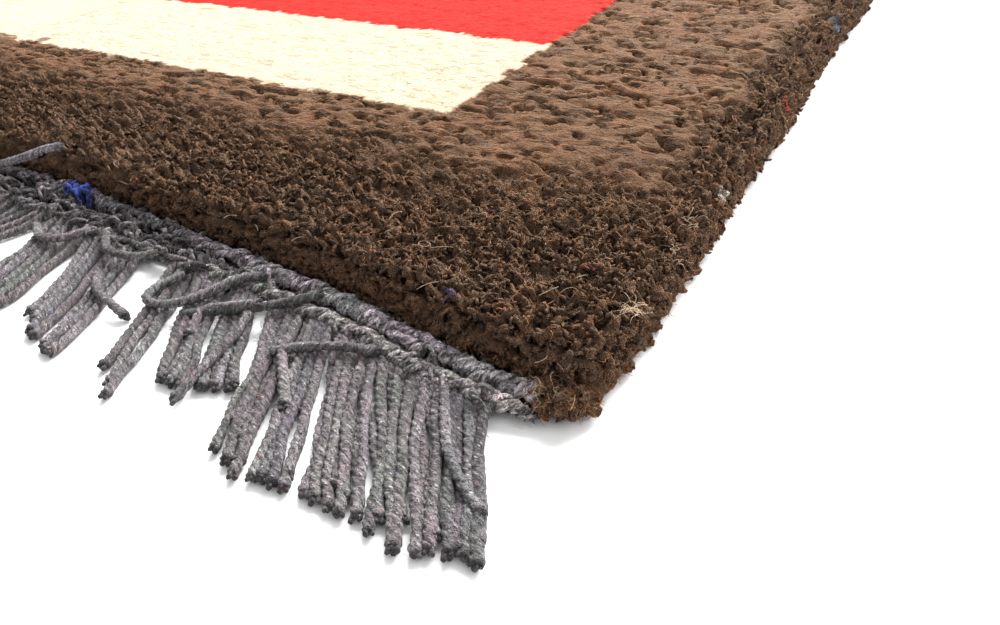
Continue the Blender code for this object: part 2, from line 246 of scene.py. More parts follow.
class Heap:
    """Geometry gathered as arrays, in millimetres, until it is made one mesh."""

    def __init__(self):
        self.points, self.grains, self.tones, self.depths = [], [], [], []
        self.quads, self.triangles, self.opens, self.count = [], [], [], 0

    def add(self, points, grain, tone, depth, quads, triangles, openness=1.0):
        """grain is each point's place in the fibre, tone its colour, depth 0 in the root and 1 at the tip,
        which the wool paints as shade, darkest at 0; openness 0 where the wool is matted and 1 where it is
        loose."""
        self.points.append(points)
        self.grains.append(grain)
        self.tones.append(np.broadcast_to(tone, points.shape))
        self.depths.append(np.broadcast_to(depth, len(points)))
        self.opens.append(np.broadcast_to(openness, len(points)))
        self.quads.append(quads + self.count)
        self.triangles.append(triangles + self.count)
        self.count += len(points)

    def make(self, name, materials, choice=None):
        """The choice, if any, is the number of each quad's material."""
        points = np.maximum(np.concatenate(self.points), (-np.inf, -np.inf, FLOOR_CLEARANCE))
        quads, triangles = np.concatenate(self.quads), np.concatenate(self.triangles)
        corners = np.concatenate([quads.ravel(), triangles.ravel()]).astype(np.int32)
        sizes = np.concatenate([np.full(len(quads), 4), np.full(len(triangles), 3)])
        starts = np.concatenate([[0], np.cumsum(sizes)[:-1]]).astype(np.int32)
        mesh = bpy.data.meshes.new(name)
        mesh.vertices.add(len(points))
        mesh.vertices.foreach_set("co", (points * MM).astype(np.float32).ravel())
        mesh.loops.add(len(corners))
        mesh.loops.foreach_set("vertex_index", corners)
        mesh.polygons.add(len(sizes))
        mesh.polygons.foreach_set("loop_start", starts)
        for material in materials:
            mesh.materials.append(material)
        if choice is not None:
            mesh.polygons.foreach_set("material_index", choice.astype(np.int32))
        mesh.update(calc_edges=True)
        mesh.shade_smooth()
        tone = mesh.color_attributes.new("tone", "FLOAT_COLOR", "POINT")
        tones = np.column_stack([np.concatenate(self.tones), np.concatenate(self.opens)])
        tone.data.foreach_set("color", tones.astype(np.float32).ravel())
        grain = mesh.attributes.new("grain", "FLOAT_VECTOR", "POINT")
        grain.data.foreach_set("vector", np.concatenate(self.grains).astype(np.float32).ravel())
        depth = mesh.attributes.new("depth", "FLOAT", "POINT")
        depth.data.foreach_set("value", np.concatenate(self.depths).astype(np.float32))
        return placed(name, mesh)


def placed(name, data):
    """A new object of the data, linked into the scene."""
    made = bpy.data.objects.new(name, data)
    bpy.context.scene.collection.objects.link(made)
    return made


def depth_of(sunk):
    """How lit a place is that is sunk so far into the wool."""
    return 1 - 0.95 * np.clip(sunk / MOST_SUNK, 0, 1) ** 0.8


def ring_faces(rings, sides):
    """Quads between rings of points that are counted ring by ring, facing out."""
    ring, side = np.meshgrid(np.arange(rings - 1), np.arange(sides), indexing="ij")
    here, next_side = ring * sides + side, ring * sides + (side + 1) % sides
    return np.stack([here, next_side, next_side + sides, here + sides], axis=-1).reshape(-1, 4)


def fan(first, sides, centre):
    side = np.arange(sides)
    return np.stack([first + side, first + (side + 1) % sides, np.full(sides, centre)], axis=-1)


def tube_faces(rings, sides):
    """Quads and end triangles of a closed tube, whose two end points come after its rings."""
    start, stop = fan(0, sides, rings * sides), fan((rings - 1) * sides, sides, rings * sides + 1)
    return ring_faces(rings, sides)[:, ::-1], np.concatenate([start, stop[:, ::-1]])


def repeated(faces, copies, step):
    """The same faces for each copy of a shape whose points follow one another."""
    return (faces[None] + (np.arange(copies) * step)[:, None, None]).reshape(-1, faces.shape[1])


# The most that a cord's plies turn from one ring of points to the next.
MOST_TURN = 0.8


def sweep(heap, line, radii, sides, tone, plies=(1, 0.0, 1000.0), turn=0.0, tip_depth=None):
    """A cord along a line. Its plies are a count, how deep they are and their pitch."""
    line = np.asarray(line, float)
    rings = len(line)
    tangent = unit(np.gradient(line, axis=0))
    across = unit(np.cross(tangent, (0.0, 0.0, 1.0)) + (1e-6, 0, 0))
    upward = np.cross(across, tangent)
    count, lobe, pitch = plies
    steps = np.linalg.norm(np.diff(line, axis=0), axis=1)
    run = np.concatenate([[0], np.cumsum(steps)])
    twist = np.concatenate([[0], np.cumsum(np.minimum(2 * math.pi * steps / pitch, MOST_TURN))])
    column = np.arange(sides)
    valley = column % (sides // count) == 0
    angle = turn + column[None] * 2 * math.pi / sides + twist[:, None]
    reach = np.broadcast_to(radii, rings)[:, None] * np.where(valley, 1 - lobe, 1.0)
    ring = across[:, None] * (reach * np.cos(angle))[..., None]
    ring += upward[:, None] * (reach * np.sin(angle))[..., None]
    points = (line[:, None] + ring).reshape(-1, 3)
    still = column * 2 * math.pi / sides
    length = np.broadcast_to(run[:, None], angle.shape)
    grain = np.stack([np.cos(still) * reach, np.sin(still) * reach, length], -1)
    grain = grain.reshape(-1, 3) + (turn * 37.0, turn * 11.0, turn * 5.0)
    depth = np.ones(rings) if tip_depth is None else np.asarray(tip_depth, float)
    # Painted shade: the valleys between the plies are darkened, and their crests made a little lighter.
    shade = np.tile(np.where(valley, 1 - 1.6 * lobe, 1.04), rings) if lobe else np.ones(rings * sides)
    heap.add(
        np.concatenate([points, line[[0, -1]]]),
        np.concatenate([grain, grain[[0, -1]]]),
        np.asarray(tone, float) * np.append(shade, (1.0, 1.0))[:, None],
        np.concatenate([np.repeat(depth, sides), depth[[0, -1]]]),
        *tube_faces(rings, sides),
    )


# The rim out of the camera's sight: step between its places, and the distance that stands for it.
RIM_STEP = 2.4
FAR_AWAY = 999.0

# Painted light: how much lighter the rim's wool is painted than the top's, which lifts its side faces.
RIM_PAINTED_LIGHT = 1.15


def rim_route():
    """Places round the pile's rim, from its near end near the photographed corner and right round.

    Each is the plain place of the rim's inner line, the outward angle, how far it is an end rather
    than a side, and the distance from that corner.
    """
    half_width, half_length = PILE_WIDTH / 2 - RIM_TOP_INSET, PILE_LENGTH / 2 - RIM_TOP_INSET
    across, up = graded(0.0, 2 * half_width, TOP_STEPS), graded(0.0, 2 * half_length, TOP_STEPS)
    reach = TOP_STEPS[-1][0]
    route = [(half_width - d, -half_length, -90.0, 1.0, d) for d in across[across <= reach][::-1]]
    route += [(half_width, -half_length, angle, -angle / 90, 0.0) for angle in range(-85, 0, 5)]
    route += [(half_width, d - half_length, 0.0, 0.0, d) for d in up]
    left, down = (np.arange(0, 2 * half, RIM_STEP) for half in (half_width, half_length))
    route += [(half_width, half_length, angle, angle / 90, FAR_AWAY) for angle in range(15, 90, 15)]
    route += [(half_width - d, half_length, 90.0, 1.0, FAR_AWAY) for d in left]
    route += [(-half_width, half_length, angle, 2 - angle / 90, FAR_AWAY) for angle in range(90, 180, 15)]
    route += [(-half_width, half_length - d, 180.0, 0.0, FAR_AWAY) for d in down]
    route += [(-half_width, -half_length, angle, angle / 90 - 2, FAR_AWAY) for angle in range(180, 270, 15)]
    route += [(half_width - d, -half_length, -90.0, 1.0, d) for d in across[across >= reach][::-1]]
    return route


def loose_wool(places):
    """Loose clumps of pile at places: how far each is sunk between them, and how high its clump is."""
    uneven = np.column_stack([soft_noise(places, 3.4, 7 + axis) for axis in range(3)])
    distance, owner = clumps(places + 1.25 * uneven, CLUMP_PITCH, 5)
    sunk = CLUMP_DROP * np.clip(distance / 0.74, 0, 1.1) ** 2.4
    crown = 0.55 * scatter(owner, 6) + 0.62 * soft_noise(places, 1.5, 17) + 0.25 * uneven[:, 0]
    return sunk, crown, owner


def rim_sheet(name, route, step, wool, rng):
    """One piece of the rim's wool, along a part of the route."""
    profile = np.array(WOOL_RIM)
    flat_run = np.hypot(np.diff(profile[:, 0]), np.diff(profile[:, 1]))
    run = np.concatenate([[0], np.cumsum(flat_run)])
    at = np.linspace(0, run[-1], int(run[-1] / step) + 1)
    plain, places, normals = [], [], []
    for x, y, angle, end_share, _ in route:
        heights = profile[:, 1] + (profile[:, 2] - profile[:, 1]) * end_share
        out, height = np.interp(at, run, RIM_TOP_INSET - profile[:, 0]), np.interp(at, run, heights)
        out_way = np.array([math.cos(math.radians(angle)), math.sin(math.radians(angle))])
        slope = unit(np.column_stack([-np.gradient(height), np.gradient(out)]))
        for o, h, (out_part, up_part) in zip(out, height, slope):
            plain.append((x + o * out_way[0], y + o * out_way[1], h))
            places.append((*on_rug(x + o * out_way[0], y + o * out_way[1]), h))
            normals.append((out_way[0] * out_part, out_way[1] * out_part, up_part))
    plain, places, normals = np.array(plain), np.array(places), np.array(normals)
    sunk, crown, owner = loose_wool(plain)
    hem = np.tile((at / run[-1]) ** 4, len(route))
    lift = crown - sunk + 0.55 + rng.normal(0, 0.12, len(sunk))
    points = places + normals * (lift * (1 - 0.5 * hem))[:, None]
    points[:, 2] += 0.9 * hem * soft_noise(plain, (2.6, 2.6, 90.0), 18)
    # Painted light: the rim is painted lighter than the top, and its crowns lighter still.
    tones = wool_tones(plain, np.zeros(len(plain), int), 1.0, owner, 0.5 * crown) * RIM_PAINTED_LIGHT
    tones = stained(points, tones)
    rows = len(at)
    row, column = np.meshgrid(np.arange(rows - 1), np.arange(len(route) - 1), indexing="ij")
    here = (column * rows + row).ravel()
    quads = np.stack([here, here + 1, here + rows + 1, here + rows], axis=-1)
    grain = points + scatter(owner, 16)[:, None] * 3
    heap = Heap()
    heap.add(points, grain, tones, depth_of(sunk), quads, np.zeros((0, 3), int))
    return heap.make(name, [wool]), points, normals, tones, depth_of(sunk)


def make_rim(wool, rng):
    """The rim's wool in four pieces. Gives them, and the points of those in sight."""
    route = rim_route()
    away = np.array([place[-1] for place in route])
    fine, reach = TOP_STEPS[1][0], TOP_STEPS[2][0]
    near = np.flatnonzero(away <= fine)
    seen = np.flatnonzero((away <= reach) & (np.arange(len(route)) < near[-1] + 400))
    first, last, stop = near[0], near[-1], seen[-1]
    corner, *points = rim_sheet("rim_corner", route[first : last + 1], 0.62, wool, rng)
    end, *end_points = rim_sheet("rim_end", route[: first + 1], 0.8, wool, rng)
    side, *side_points = rim_sheet("rim_side", route[last : stop + 1], 1.0, wool, rng)
    rest = rim_sheet("rim_rest", route[stop:], 2.2, wool, rng)[0]
    return [corner, end, side, rest], points, end_points, side_points


def hairs(
    heap, roots, ways, bends, lengths, radii, tones, joints, sides=3, taper=0.25, root_depth=1.0, tip=1.0
):
    """Fibres or plies, each a spike that bends at its joints; a ply is blunt, and painted dark in its root as
    shade.
    """
    count = len(roots)
    across = unit(np.cross(ways, (0.31, 0.77, 0.55)))
    over = np.cross(ways, across)
    angle = np.arange(sides) * 2 * math.pi / sides
    ring = across[:, None] * np.cos(angle)[:, None] + over[:, None] * np.sin(angle)[:, None]
    ring = ring * radii[:, None, None]
    place, way, rings = roots, ways, []
    step = (lengths / (joints + 1))[:, None]
    for joint in range(joints + 1):
        rings.append(place[:, None] + ring * (1 - taper * joint))
        place = place + way * step * (tip if joint == joints else 1.0)
        way = unit(way + bends)
    points = np.concatenate([*rings, place[:, None]], axis=1).reshape(-1, 3)
    each = sides * (joints + 1) + 1
    root = [[0, side + 1, side] for side in range(1, sides - 1)]
    triangles = np.concatenate([fan(sides * joints, sides, each - 1), root])
    depth = np.append(np.repeat(np.linspace(root_depth, 1.0, joints + 2)[:-1], sides), 1.0)
    heap.add(
        points,
        points,
        np.repeat(tones, each, axis=0),
        np.tile(depth, count),
        repeated(ring_faces(joints + 1, sides), count, each),
        repeated(triangles, count, each),
    )


def smooth_line(points, step):
    """A smooth curve through the points, with a point about every step."""
    points = np.asarray(points, float)
    padded = np.concatenate([[2 * points[0] - points[1]], points, [2 * points[-1] - points[-2]]])
    line = []
    for before, start, end, after in zip(padded, padded[1:], padded[2:], padded[3:]):
        count = max(2, int(np.linalg.norm(end - start) / step) + 1)
        share = np.linspace(0, 1, count, endpoint=False)[:, None]
        line.append(
            start
            + 0.5 * share * (end - before)
            + share**2 * (before - 2.5 * start + 2 * end - 0.5 * after)
            + share**3 * (1.5 * (start - end) + 0.5 * (after - before))
        )
    return np.concatenate([*line, points[-1:]])


# Yarn ends, as rings of points from the root to the tip: share of the length, share of the width.
FINE_END = ((0.0, 0.80), (0.34, 0.95), (0.58, 1.04), (0.78, 0.96), (0.92, 0.70), (0.985, 0.34))
MIDDLE_END = ((0.0, 0.85), (0.50, 1.02), (0.80, 0.92), (0.96, 0.50))
PLAIN_END = ((0.0, 0.95), (0.78, 0.96))
FINE_SIDES = 10
MIDDLE_SIDES = 8
PLAIN_SIDES = 5
END_LENGTH = 6.0


# Odd fibres spun into the wool: distance from the near right corner to the left and away, height,
# reach, colour.
STAINS = (
    (-36.2, 6.0, 14.2, 2.1, (0.045, 0.060, 0.260)),
    (-3.3, 9.3, 7.0, 2.3, (0.090, 0.085, 0.180)),
    (-3.3, 203.0, 13.5, 3.9, (0.090, 0.180, 0.300)),
    (1.5, 229.0, 12.0, 4.0, (0.060, 0.100, 0.220)),
    (0.6, 129.0, 13.4, 3.6, (0.680, 0.030, 0.030)),
    (1.0, 70.4, 11.4, 2.7, (0.900, 0.860, 0.780)),
    (-14.4, 27.3, 15.0, 1.9, (0.300, 0.030, 0.035)),
    (-280.1, 82.8, 15.0, 3.0, BROWN),
)


def stained(places, tones):
    """The tones, with the odd fibres spun into the wool."""
    tones = tones.copy()
    for x, y, z, reach, colour in STAINS:
        away = np.linalg.norm((places - (PILE_WIDTH / 2 + x, y - PILE_LENGTH / 2, z)) * (1, 1, 0.6), axis=1)
        tones[away < reach] = colour
    return tones


class YarnEnds:
    """Places, directions, widths and colours of cut yarn ends."""

    def __init__(self, tips, ways, rows_way, widths, lights, rng):
        self.tips, self.ways = tips, unit(ways)
        across = rows_way - self.ways * (rows_way * self.ways).sum(1, keepdims=True)
        self.across = unit(across)
        self.over = np.cross(self.ways, self.across)
        self.widths = widths
        count = len(tips)
        value = rng.normal(1.0, 0.24, count).clip(0.5, 1.6) + 0.20 * soft_noise(tips, 20.0, 41)
        warm = np.abs(rng.normal(0.0, 0.06, (count, 1))) * (1.0, -0.1, -0.7)
        self.tones = stained(tips, np.array(BROWN) * lights * value[:, None] * (1 + warm))
        self.seeds = rng.uniform(0, 400, (count, 3))
        self.phases = rng.uniform(0, 2 * math.pi, count)

    def build(self, heap, chosen, rings, sides, rough, rng):
        """Meshes the chosen ends, each as a rounded lump that is uneven all over."""
        share, width = np.array(rings).T
        angle = np.arange(sides) * 2 * math.pi / sides
        count, levels = len(chosen), len(rings)
        turned = angle[None] + self.phases[chosen][:, None]
        half = self.widths[chosen]
        right = (half[:, :1, None] * width[None, :, None] * np.cos(turned)[:, None])[..., None]
        far = (half[:, 1:2, None] * width[None, :, None] * np.sin(turned)[:, None])[..., None]
        down = ((share - 1) * END_LENGTH)[None, :, None, None]
        points = (
            self.tips[chosen][:, None, None]
            + self.ways[chosen][:, None, None] * down
            + self.across[chosen][:, None, None] * right
            + self.over[chosen][:, None, None] * far
        )
        crown = self.tips[chosen] + self.ways[chosen] * (0.03 * END_LENGTH)
        grain = np.concatenate([right, far, np.broadcast_to(down * 0.4, right.shape)], axis=-1)
        grain = grain + self.seeds[chosen][:, None, None]
        each = levels * sides + 1
        points = np.concatenate([points.reshape(count, -1, 3), crown[:, None]], axis=1).reshape(-1, 3)
        uneven = np.column_stack([soft_noise(points, 1.7, 51 + axis) for axis in range(3)])
        points = points + rough * uneven + rng.normal(0, 0.3 * rough, points.shape)
        grain = np.concatenate([grain.reshape(count, -1, 3), self.seeds[chosen][:, None]], axis=1)
        # Painted shade: each end is darkened towards its root, down between the others.
        depth = np.append(np.repeat(0.25 + 0.75 * share, sides), 1.0)
        heap.add(
            points,
            grain.reshape(-1, 3),
            np.repeat(self.tones[chosen], each, axis=0),
            np.tile(depth, count),
            repeated(ring_faces(levels, sides), count, each),
            repeated(fan((levels - 1) * sides, sides, levels * sides), count, each),
        )


def top_zones(x, y):
    """The colour zone of each place. Its edges follow the knots, with a tooth or a step here and there."""
    wander = ROW_WANDER * soft_noise(np.column_stack([x, y]), (ROW_WANDER_PITCH, 90.0), 21)
    from_end = PILE_LENGTH / 2 - np.abs(y) + wander
    row = np.floor((from_end - BORDER_END) / ROW_PITCH)
    column = x / END_PITCH
    knot = np.column_stack([np.floor(column), np.sign(y)])
    tooth = ZONE_TOOTH * scatter(knot, 22) * (1 - (2 * (column - np.floor(column)) - 1) ** 2)
    step = ZONE_STEP * scatter(np.column_stack([row, np.sign(x)]), 23)
    inside = (PILE_WIDTH / 2 - np.abs(x) + step > BORDER_SIDE) & (from_end + tooth > BORDER_END)
    return np.where(inside, np.where(from_end + tooth < BORDER_END + BAND, 1, 2), 0)


def zone_of(x, y):
    """0 border, 1 cream band, 2 red field."""
    from_end = PILE_LENGTH / 2 - abs(y)
    if abs(x) > PILE_WIDTH / 2 - BORDER_SIDE or from_end < BORDER_END:
        return 0
    return 1 if from_end < BORDER_END + BAND else 2


def rim_places():
    """Places round the pile's rim: plain place of the top edge, outward angle, end share."""
    half_width, half_length = PILE_WIDTH / 2 - RIM_TOP_INSET, PILE_LENGTH / 2 - RIM_TOP_INSET
    places = []
    for end in (-1, 1):
        columns = round(2 * half_width / END_PITCH)
        for i in range(columns + 1):
            x = -half_width + 2 * half_width * i / columns
            places.append((x, end * half_length, end * 90.0, 1.0))
    for side in (-1, 1):
        rows = round(2 * half_length / END_PITCH)
        for i in range(1, rows):
            y = -half_length + 2 * half_length * i / rows
            places.append((side * half_width, y, 0.0 if side > 0 else 180.0, 0.0))
    for side in (-1, 1):
        for end in (-1, 1):
            for turn in (15, 30, 45, 60, 75):
                angle = end * turn if side > 0 else 180 - end * turn
                places.append((side * half_width, end * half_length, angle, turn / 90))
    return places


# Tufts that hang from the rim over the webs and the bound sides: share of their places that has
# one, lean in degrees from upright.
HANGING = 0.72
HANGING_LEAN = (66, 112)

# One more row of tufts that hang over the bound sides, in the rim table's order.
SIDE_LEVEL = (-0.7, 1.9, 1.9)


def rim_ends(rng):
    """Single yarn ends that hang out of the pile's rim, and those that cover the corners."""
    tips, ways, rows_way, widths, lights = [], [], [], [], []
    low = [*np.array(WOOL_RIM)[-4:-1], SIDE_LEVEL]
    for x, y, angle, end_share in rim_places():
        turn = math.radians(angle)
        out_way = np.array([math.cos(turn), math.sin(turn)])
        for level, (inset, side_height, end_height) in enumerate(low):
            if rng.uniform() > HANGING or (level == 3 and end_share > 0.2):
                continue
            out = RIM_TOP_INSET - inset - 0.75 * (1 - end_share) + rng.normal(-0.15, 0.35)
            z = side_height + (end_height - side_height) * end_share + rng.normal(0.0, 0.9)
            lean = math.radians(rng.uniform(*HANGING_LEAN))
            sideways = rng.normal(0, 1.2)
            px, py = on_rug(x + out * out_way[0], y + out * out_way[1])
            tips.append((px - out_way[1] * sideways, py + out_way[0] * sideways, max(z, 1.2)))
            flat = math.sin(lean)
            ways.append((out_way[0] * flat, out_way[1] * flat, math.cos(lean)))
            rows_way.append((-out_way[1], out_way[0], 0.0))
            widths.append(rng.uniform(0.8, 1.45))
            # Painted light: tufts hanging from the rim are painted lighter, like the rim.
            lights.append((1.15, 1.15, 1.15))
    for tip, way in corner_tufts(rng):
        tips.append(tip)
        ways.append(way)
        rows_way.append((1.0, 0.2, 0.1))
        widths.append(rng.uniform(0.6, 1.15))
        lights.append(CORNER_LIGHT)
    count = len(tips)
    ways = np.array(ways) + rng.normal(0, 0.3, (count, 3))
    widths = np.array(widths)[:, None] * rng.uniform(0.8, 1.2, (count, 2))
    return YarnEnds(np.array(tips), ways, np.array(rows_way), widths, np.array(lights), rng)


# Wool that is bound round each corner, over the end of the web: the middle of the tufts from the
# pile's corner inwards and outwards along the rug, its height, their reach by axis, how many.
CORNER_MIDDLE = (7.0, 1.5, 2.4)
CORNER_REACH = (7.0, 5.6, 4.2)
CORNER_TUFTS = 105

# How much lighter those tufts are than the brown wool, by channel.
CORNER_LIGHT = (2.2, 2.45, 2.9)


def corner_tufts(rng):
    """Tips and directions of the short ends that cover each corner's binding, which is cut off aslant."""
    tufts = []
    inward, outward, height = CORNER_MIDDLE
    for side in (-1, 1):
        for end in (-1, 1):
            corner = np.array([side * PILE_WIDTH / 2, end_y(end, side * PILE_WIDTH / 2), 0.0])
            middle = corner + (-side * inward, end * outward, height)
            for _ in range(CORNER_TUFTS):
                turn, rise = math.radians(rng.uniform(-60, 185)), math.radians(rng.uniform(-10, 75))
                way = np.array([side * math.cos(turn), end * math.sin(turn), 0.0]) * math.cos(rise)
                way[2] = math.sin(rise)
                tip = middle + way * CORNER_REACH * rng.uniform(0.86, 1.04)
                past = end * (tip[1] - corner[1]) + side * (tip[0] - corner[0]) + rng.uniform(-0.8, 0.4)
                tip[:2] -= max(past, 0.0) / 2 * np.array((side, end))
                tip[2] = max(tip[2], 0.9)
                tufts.append((tip, way - (0, 0, 0.25)))
    return tufts


# The top of the pile is a sheet of cut yarn ends pressed together. The step between its points, by
# distance from each of the edges that meet at the photographed corner, and the step elsewhere.
TOP_STEPS = ((55, 0.62), (140, 0.9), (290, 1.35))
TOP_FAR_STEP = 3.6
TOP_INSET = 6.5

# Towards its edges it opens into separate clumps: all open up to the first distance, matted past
# the second, from an end, a side and a corner.
OPEN_BY_END = (10, 56)
OPEN_BY_SIDE = (-4, 9)
OPEN_BY_CORNER = (20, 72)

# Clumps of loose wool: their pitch, how deep the gaps between them are, the deepest on the top.
CLUMP_PITCH = 2.8
CLUMP_DROP = 5.4
MOST_SUNK = 4.4

# Painted light: how much lighter and paler the brown is painted away from the ends, where the light
# grazes the pile, and the distances from an end where that begins and is all there.
BROWN_PAINTED_LIGHT = 0.68
BROWN_PAINTED_LIGHT_REACH = (0, 150)
BROWN_PAINTED_LIGHT_TINT = (1.0, 1.42, 2.1)

# How far the colours' edges jump from knot to knot along the ends, and from row to row at the sides.
ZONE_TOOTH = 1.8
ZONE_STEP = 1.9


def graded(start, stop, steps):
    """Distances from a start to a stop, with the step of the reach that each is in."""
    lines = [start]
    while lines[-1] < stop - 0.01:
        step = next((step for reach, step in steps if lines[-1] < reach - 0.01), TOP_FAR_STEP)
        lines.append(min(lines[-1] + step, stop))
    return np.array(lines)


def rise(value, low, high):
    """0 up to the low value, 1 past the high one, smooth between."""
    share = np.clip((value - low) / (high - low), 0, 1)
    return share**2 * (3 - 2 * share)


def top_surface(x, y, z):
    """At plain places: the top's height over its even level, depth in a crevice, looseness, clump."""
    plane = np.column_stack([x, y])
    to_side = PILE_WIDTH / 2 - RIM_TOP_INSET - np.abs(x)
    to_end = PILE_LENGTH / 2 - RIM_TOP_INSET - np.abs(y)
    uneven = 9 * soft_noise(plane, 15.0, 3)
    loose = 1 - rise(to_end + uneven, *OPEN_BY_END)
    loose = np.maximum(loose, 1 - rise(to_side + 0.4 * uneven, *OPEN_BY_SIDE))
    away = np.hypot(np.maximum(to_side, 0), np.maximum(to_end, 0))
    loose = np.maximum(loose, 1 - rise(away + uneven, *OPEN_BY_CORNER))
    clump_sunk, crown, owner = loose_wool(np.column_stack([x, y, np.full(len(x), z)]))
    swayed = plane + np.column_stack([1.5 * soft_noise(plane, 5.0, 9), 0.9 * soft_noise(plane, 6.0, 10)])
    mat = 0.40 * soft_noise(swayed, (4.6, 2.6), 11) + 0.26 * soft_noise(swayed, (2.5, 1.5), 12)
    line = np.clip(1.25 - np.abs(soft_noise(swayed, (3.6, 1.8), 13)) / 0.24, 0, 1)
    dash = 3.0 * line * rise(soft_noise(swayed, (4.6, 2.6), 14), -0.04, 0.24)
    row = (swayed[:, 1] + PILE_LENGTH / 2 - BORDER_END) / ROW_PITCH
    groove = np.clip(1 - np.abs(row - np.round(row)) / 0.20, 0, 1)
    rare = 0.44 - 0.30 * (1 - rise(to_end, 25, 110))
    parting = 3.2 * groove * rise(soft_noise(swayed, (6.0, 5.0), 15), rare, rare + 0.22)
    sunk = loose * clump_sunk + (1 - 0.8 * loose) * np.maximum(dash, parting)
    crest = loose * crown + (1 - 0.5 * loose) * mat
    return crest, sunk, loose, owner


def faded(tones, shades):
    """Tones by shades, where what is lighter than the wool is also paler."""
    return tones * shades + np.array(PALE) * 0.13 * np.maximum(shades - 1, 0)


def top_patch(name, from_side, from_end, wools, rng):
    """One piece of the top, with lines of points at distances from the right side and the near end."""
    half_width, half_length = PILE_WIDTH / 2 - TOP_INSET, PILE_LENGTH / 2 - TOP_INSET
    xs, ys = (half_width - from_side)[::-1], from_end - half_length
    side_pull = np.array([edge_pull(PILE_WIDTH / 2 - abs(x), BORDER_SIDE) for x in xs])
    end_pull = np.array([edge_pull(PILE_LENGTH / 2 - abs(y), BORDER_END) for y in ys])
    waver = np.array([(side_x(-1, y) + PILE_WIDTH / 2, side_x(1, y) - PILE_WIDTH / 2) for y in ys])
    drawn = np.array([(end_y(-1, x) + PILE_LENGTH / 2, end_y(1, x) - PILE_LENGTH / 2) for x in xs])
    bent_x = xs + side_pull * np.where(xs < 0, waver[:, :1], waver[:, 1:])
    bent_y = ys[:, None] + end_pull[:, None] * np.where(ys[:, None] < 0, drawn[:, 0], drawn[:, 1])
    plain_x, plain_y = (part.ravel() for part in np.meshgrid(xs, ys))
    crest, sunk, loose, owner = top_surface(plain_x, plain_y, WOOL_RIM[0][1])
    zones = top_zones(plain_x, plain_y)
    calm = np.where(zones == 0, 1.0, 0.30)
    sunk = np.minimum(sunk * calm**1.8, MOST_SUNK)
    plain = np.column_stack([plain_x, plain_y])
    level = PILE_TOP + TOP_LUMP * (0.6 * soft_noise(plain, TOP_LUMP_PITCH, 2) - 0.5)
    z = level + (crest - 0.35) * calm - sunk + rng.normal(0, 0.07, len(sunk))
    points = np.column_stack([bent_x.ravel(), bent_y.ravel(), z])
    depth = depth_of(sunk)
    tones = wool_tones(plain, zones, loose, owner, crest)
    grain = points * (0.42, 1.0, 1.0) + scatter(owner, 16)[:, None] * loose[:, None] * 3
    columns = len(xs)
    row, column = np.meshgrid(np.arange(len(ys) - 1), np.arange(columns - 1), indexing="ij")
    here = (row * columns + column).ravel()
    quads = np.stack([here, here + 1, here + 1 + columns, here + columns], axis=-1)
    heap = Heap()
    heap.add(points, grain, stained(points, tones), depth, quads, np.zeros((0, 3), int), loose)
    return heap.make(name, wools, zones[here]), points, tones, depth, loose


def wool_tones(plain, zones, loose, owner, crest):
    """The colour of the wool at plain places: patchy in the brown and nearly even in the rest, with painted
    light on crests, on loose wool and away from the ends.
    """
    plane = plain[:, :2]
    much = np.where(zones == 0, 1.0, 0.10)
    value = 0.12 * soft_noise(plane, 24.0, 31) + 0.10 * soft_noise(plane, (5.0, 2.0), 32)
    # Painted highlight: crests are painted lighter, more so where the wool is loose.
    value += 0.26 * loose * scatter(owner, 33) + (0.22 + 0.14 * loose) * crest
    # Painted light: the brown is painted lighter and paler away from the ends.
    painted_light_away = BROWN_PAINTED_LIGHT * rise(PILE_LENGTH / 2 - np.abs(plane[:, 1]), *BROWN_PAINTED_LIGHT_REACH) * (zones == 0)
    warm = 0.12 * np.maximum(soft_noise(plane, (11.0, 7.0), 34), -0.35)[:, None] * (1.0, -0.1, -0.6)
    olive = 0.06 * np.maximum(soft_noise(plane, (13.0, 9.0), 35), 0)[:, None] * (-0.3, 0.6, -0.8)
    patchy = 1 + much[:, None] * (value[:, None] + warm + olive)
    # Painted light: in the brown, loose wool is painted lighter and matted wool darker, to even out the shade
    # between them.
    loose_and_matted_light = np.where(zones == 0, 0.84 + 0.30 * loose, 1.0)[:, None]
    return np.array(ZONE_COLOURS)[zones] * patchy * loose_and_matted_light * (1 + painted_light_away[:, None] * BROWN_PAINTED_LIGHT_TINT)


def curly_plies(heap, points, normals, tones, count, rng):
    """Cut ends of yarn whose plies have come apart and curl over the loose wool, painted dark in their roots
    as shade.
    """
    chosen = rng.integers(0, len(points), count)
    out = normals[chosen]
    roots = points[chosen] - out * rng.uniform(0.7, 1.3, (count, 1))
    ways = rng.normal(0, 1, (count, 3))
    ways = unit(ways - out * (ways * out).sum(1, keepdims=True))
    ways = unit(ways + out * rng.uniform(0.30, 1.1, (count, 1)))
    bends = rng.normal(0, 0.42, (count, 3)) - out * rng.uniform(0.25, 0.75, (count, 1))
    shades = rng.uniform(0.75, 1.75, (count, 1))
    lengths, radii = rng.uniform(2.4, 4.0, count), rng.uniform(0.38, 0.62, count)
    shown = stained(points[chosen], faded(tones[chosen], shades))
    # Painted shade: root_depth 0.12 darkens each ply's root.
    hairs(heap, roots, ways, bends, lengths, radii, shown, 2, sides=4, taper=0.12, root_depth=0.12, tip=0.35)


# How many such plies there are: on the top by distance from the photographed corner, then on the
# rim at the corner, the end and the side.
TOP_PLIES = ((0, 75, 2300), (75, 150, 1500), (150, 290, 1300))
RIM_PLIES = (2300, 460, 300)


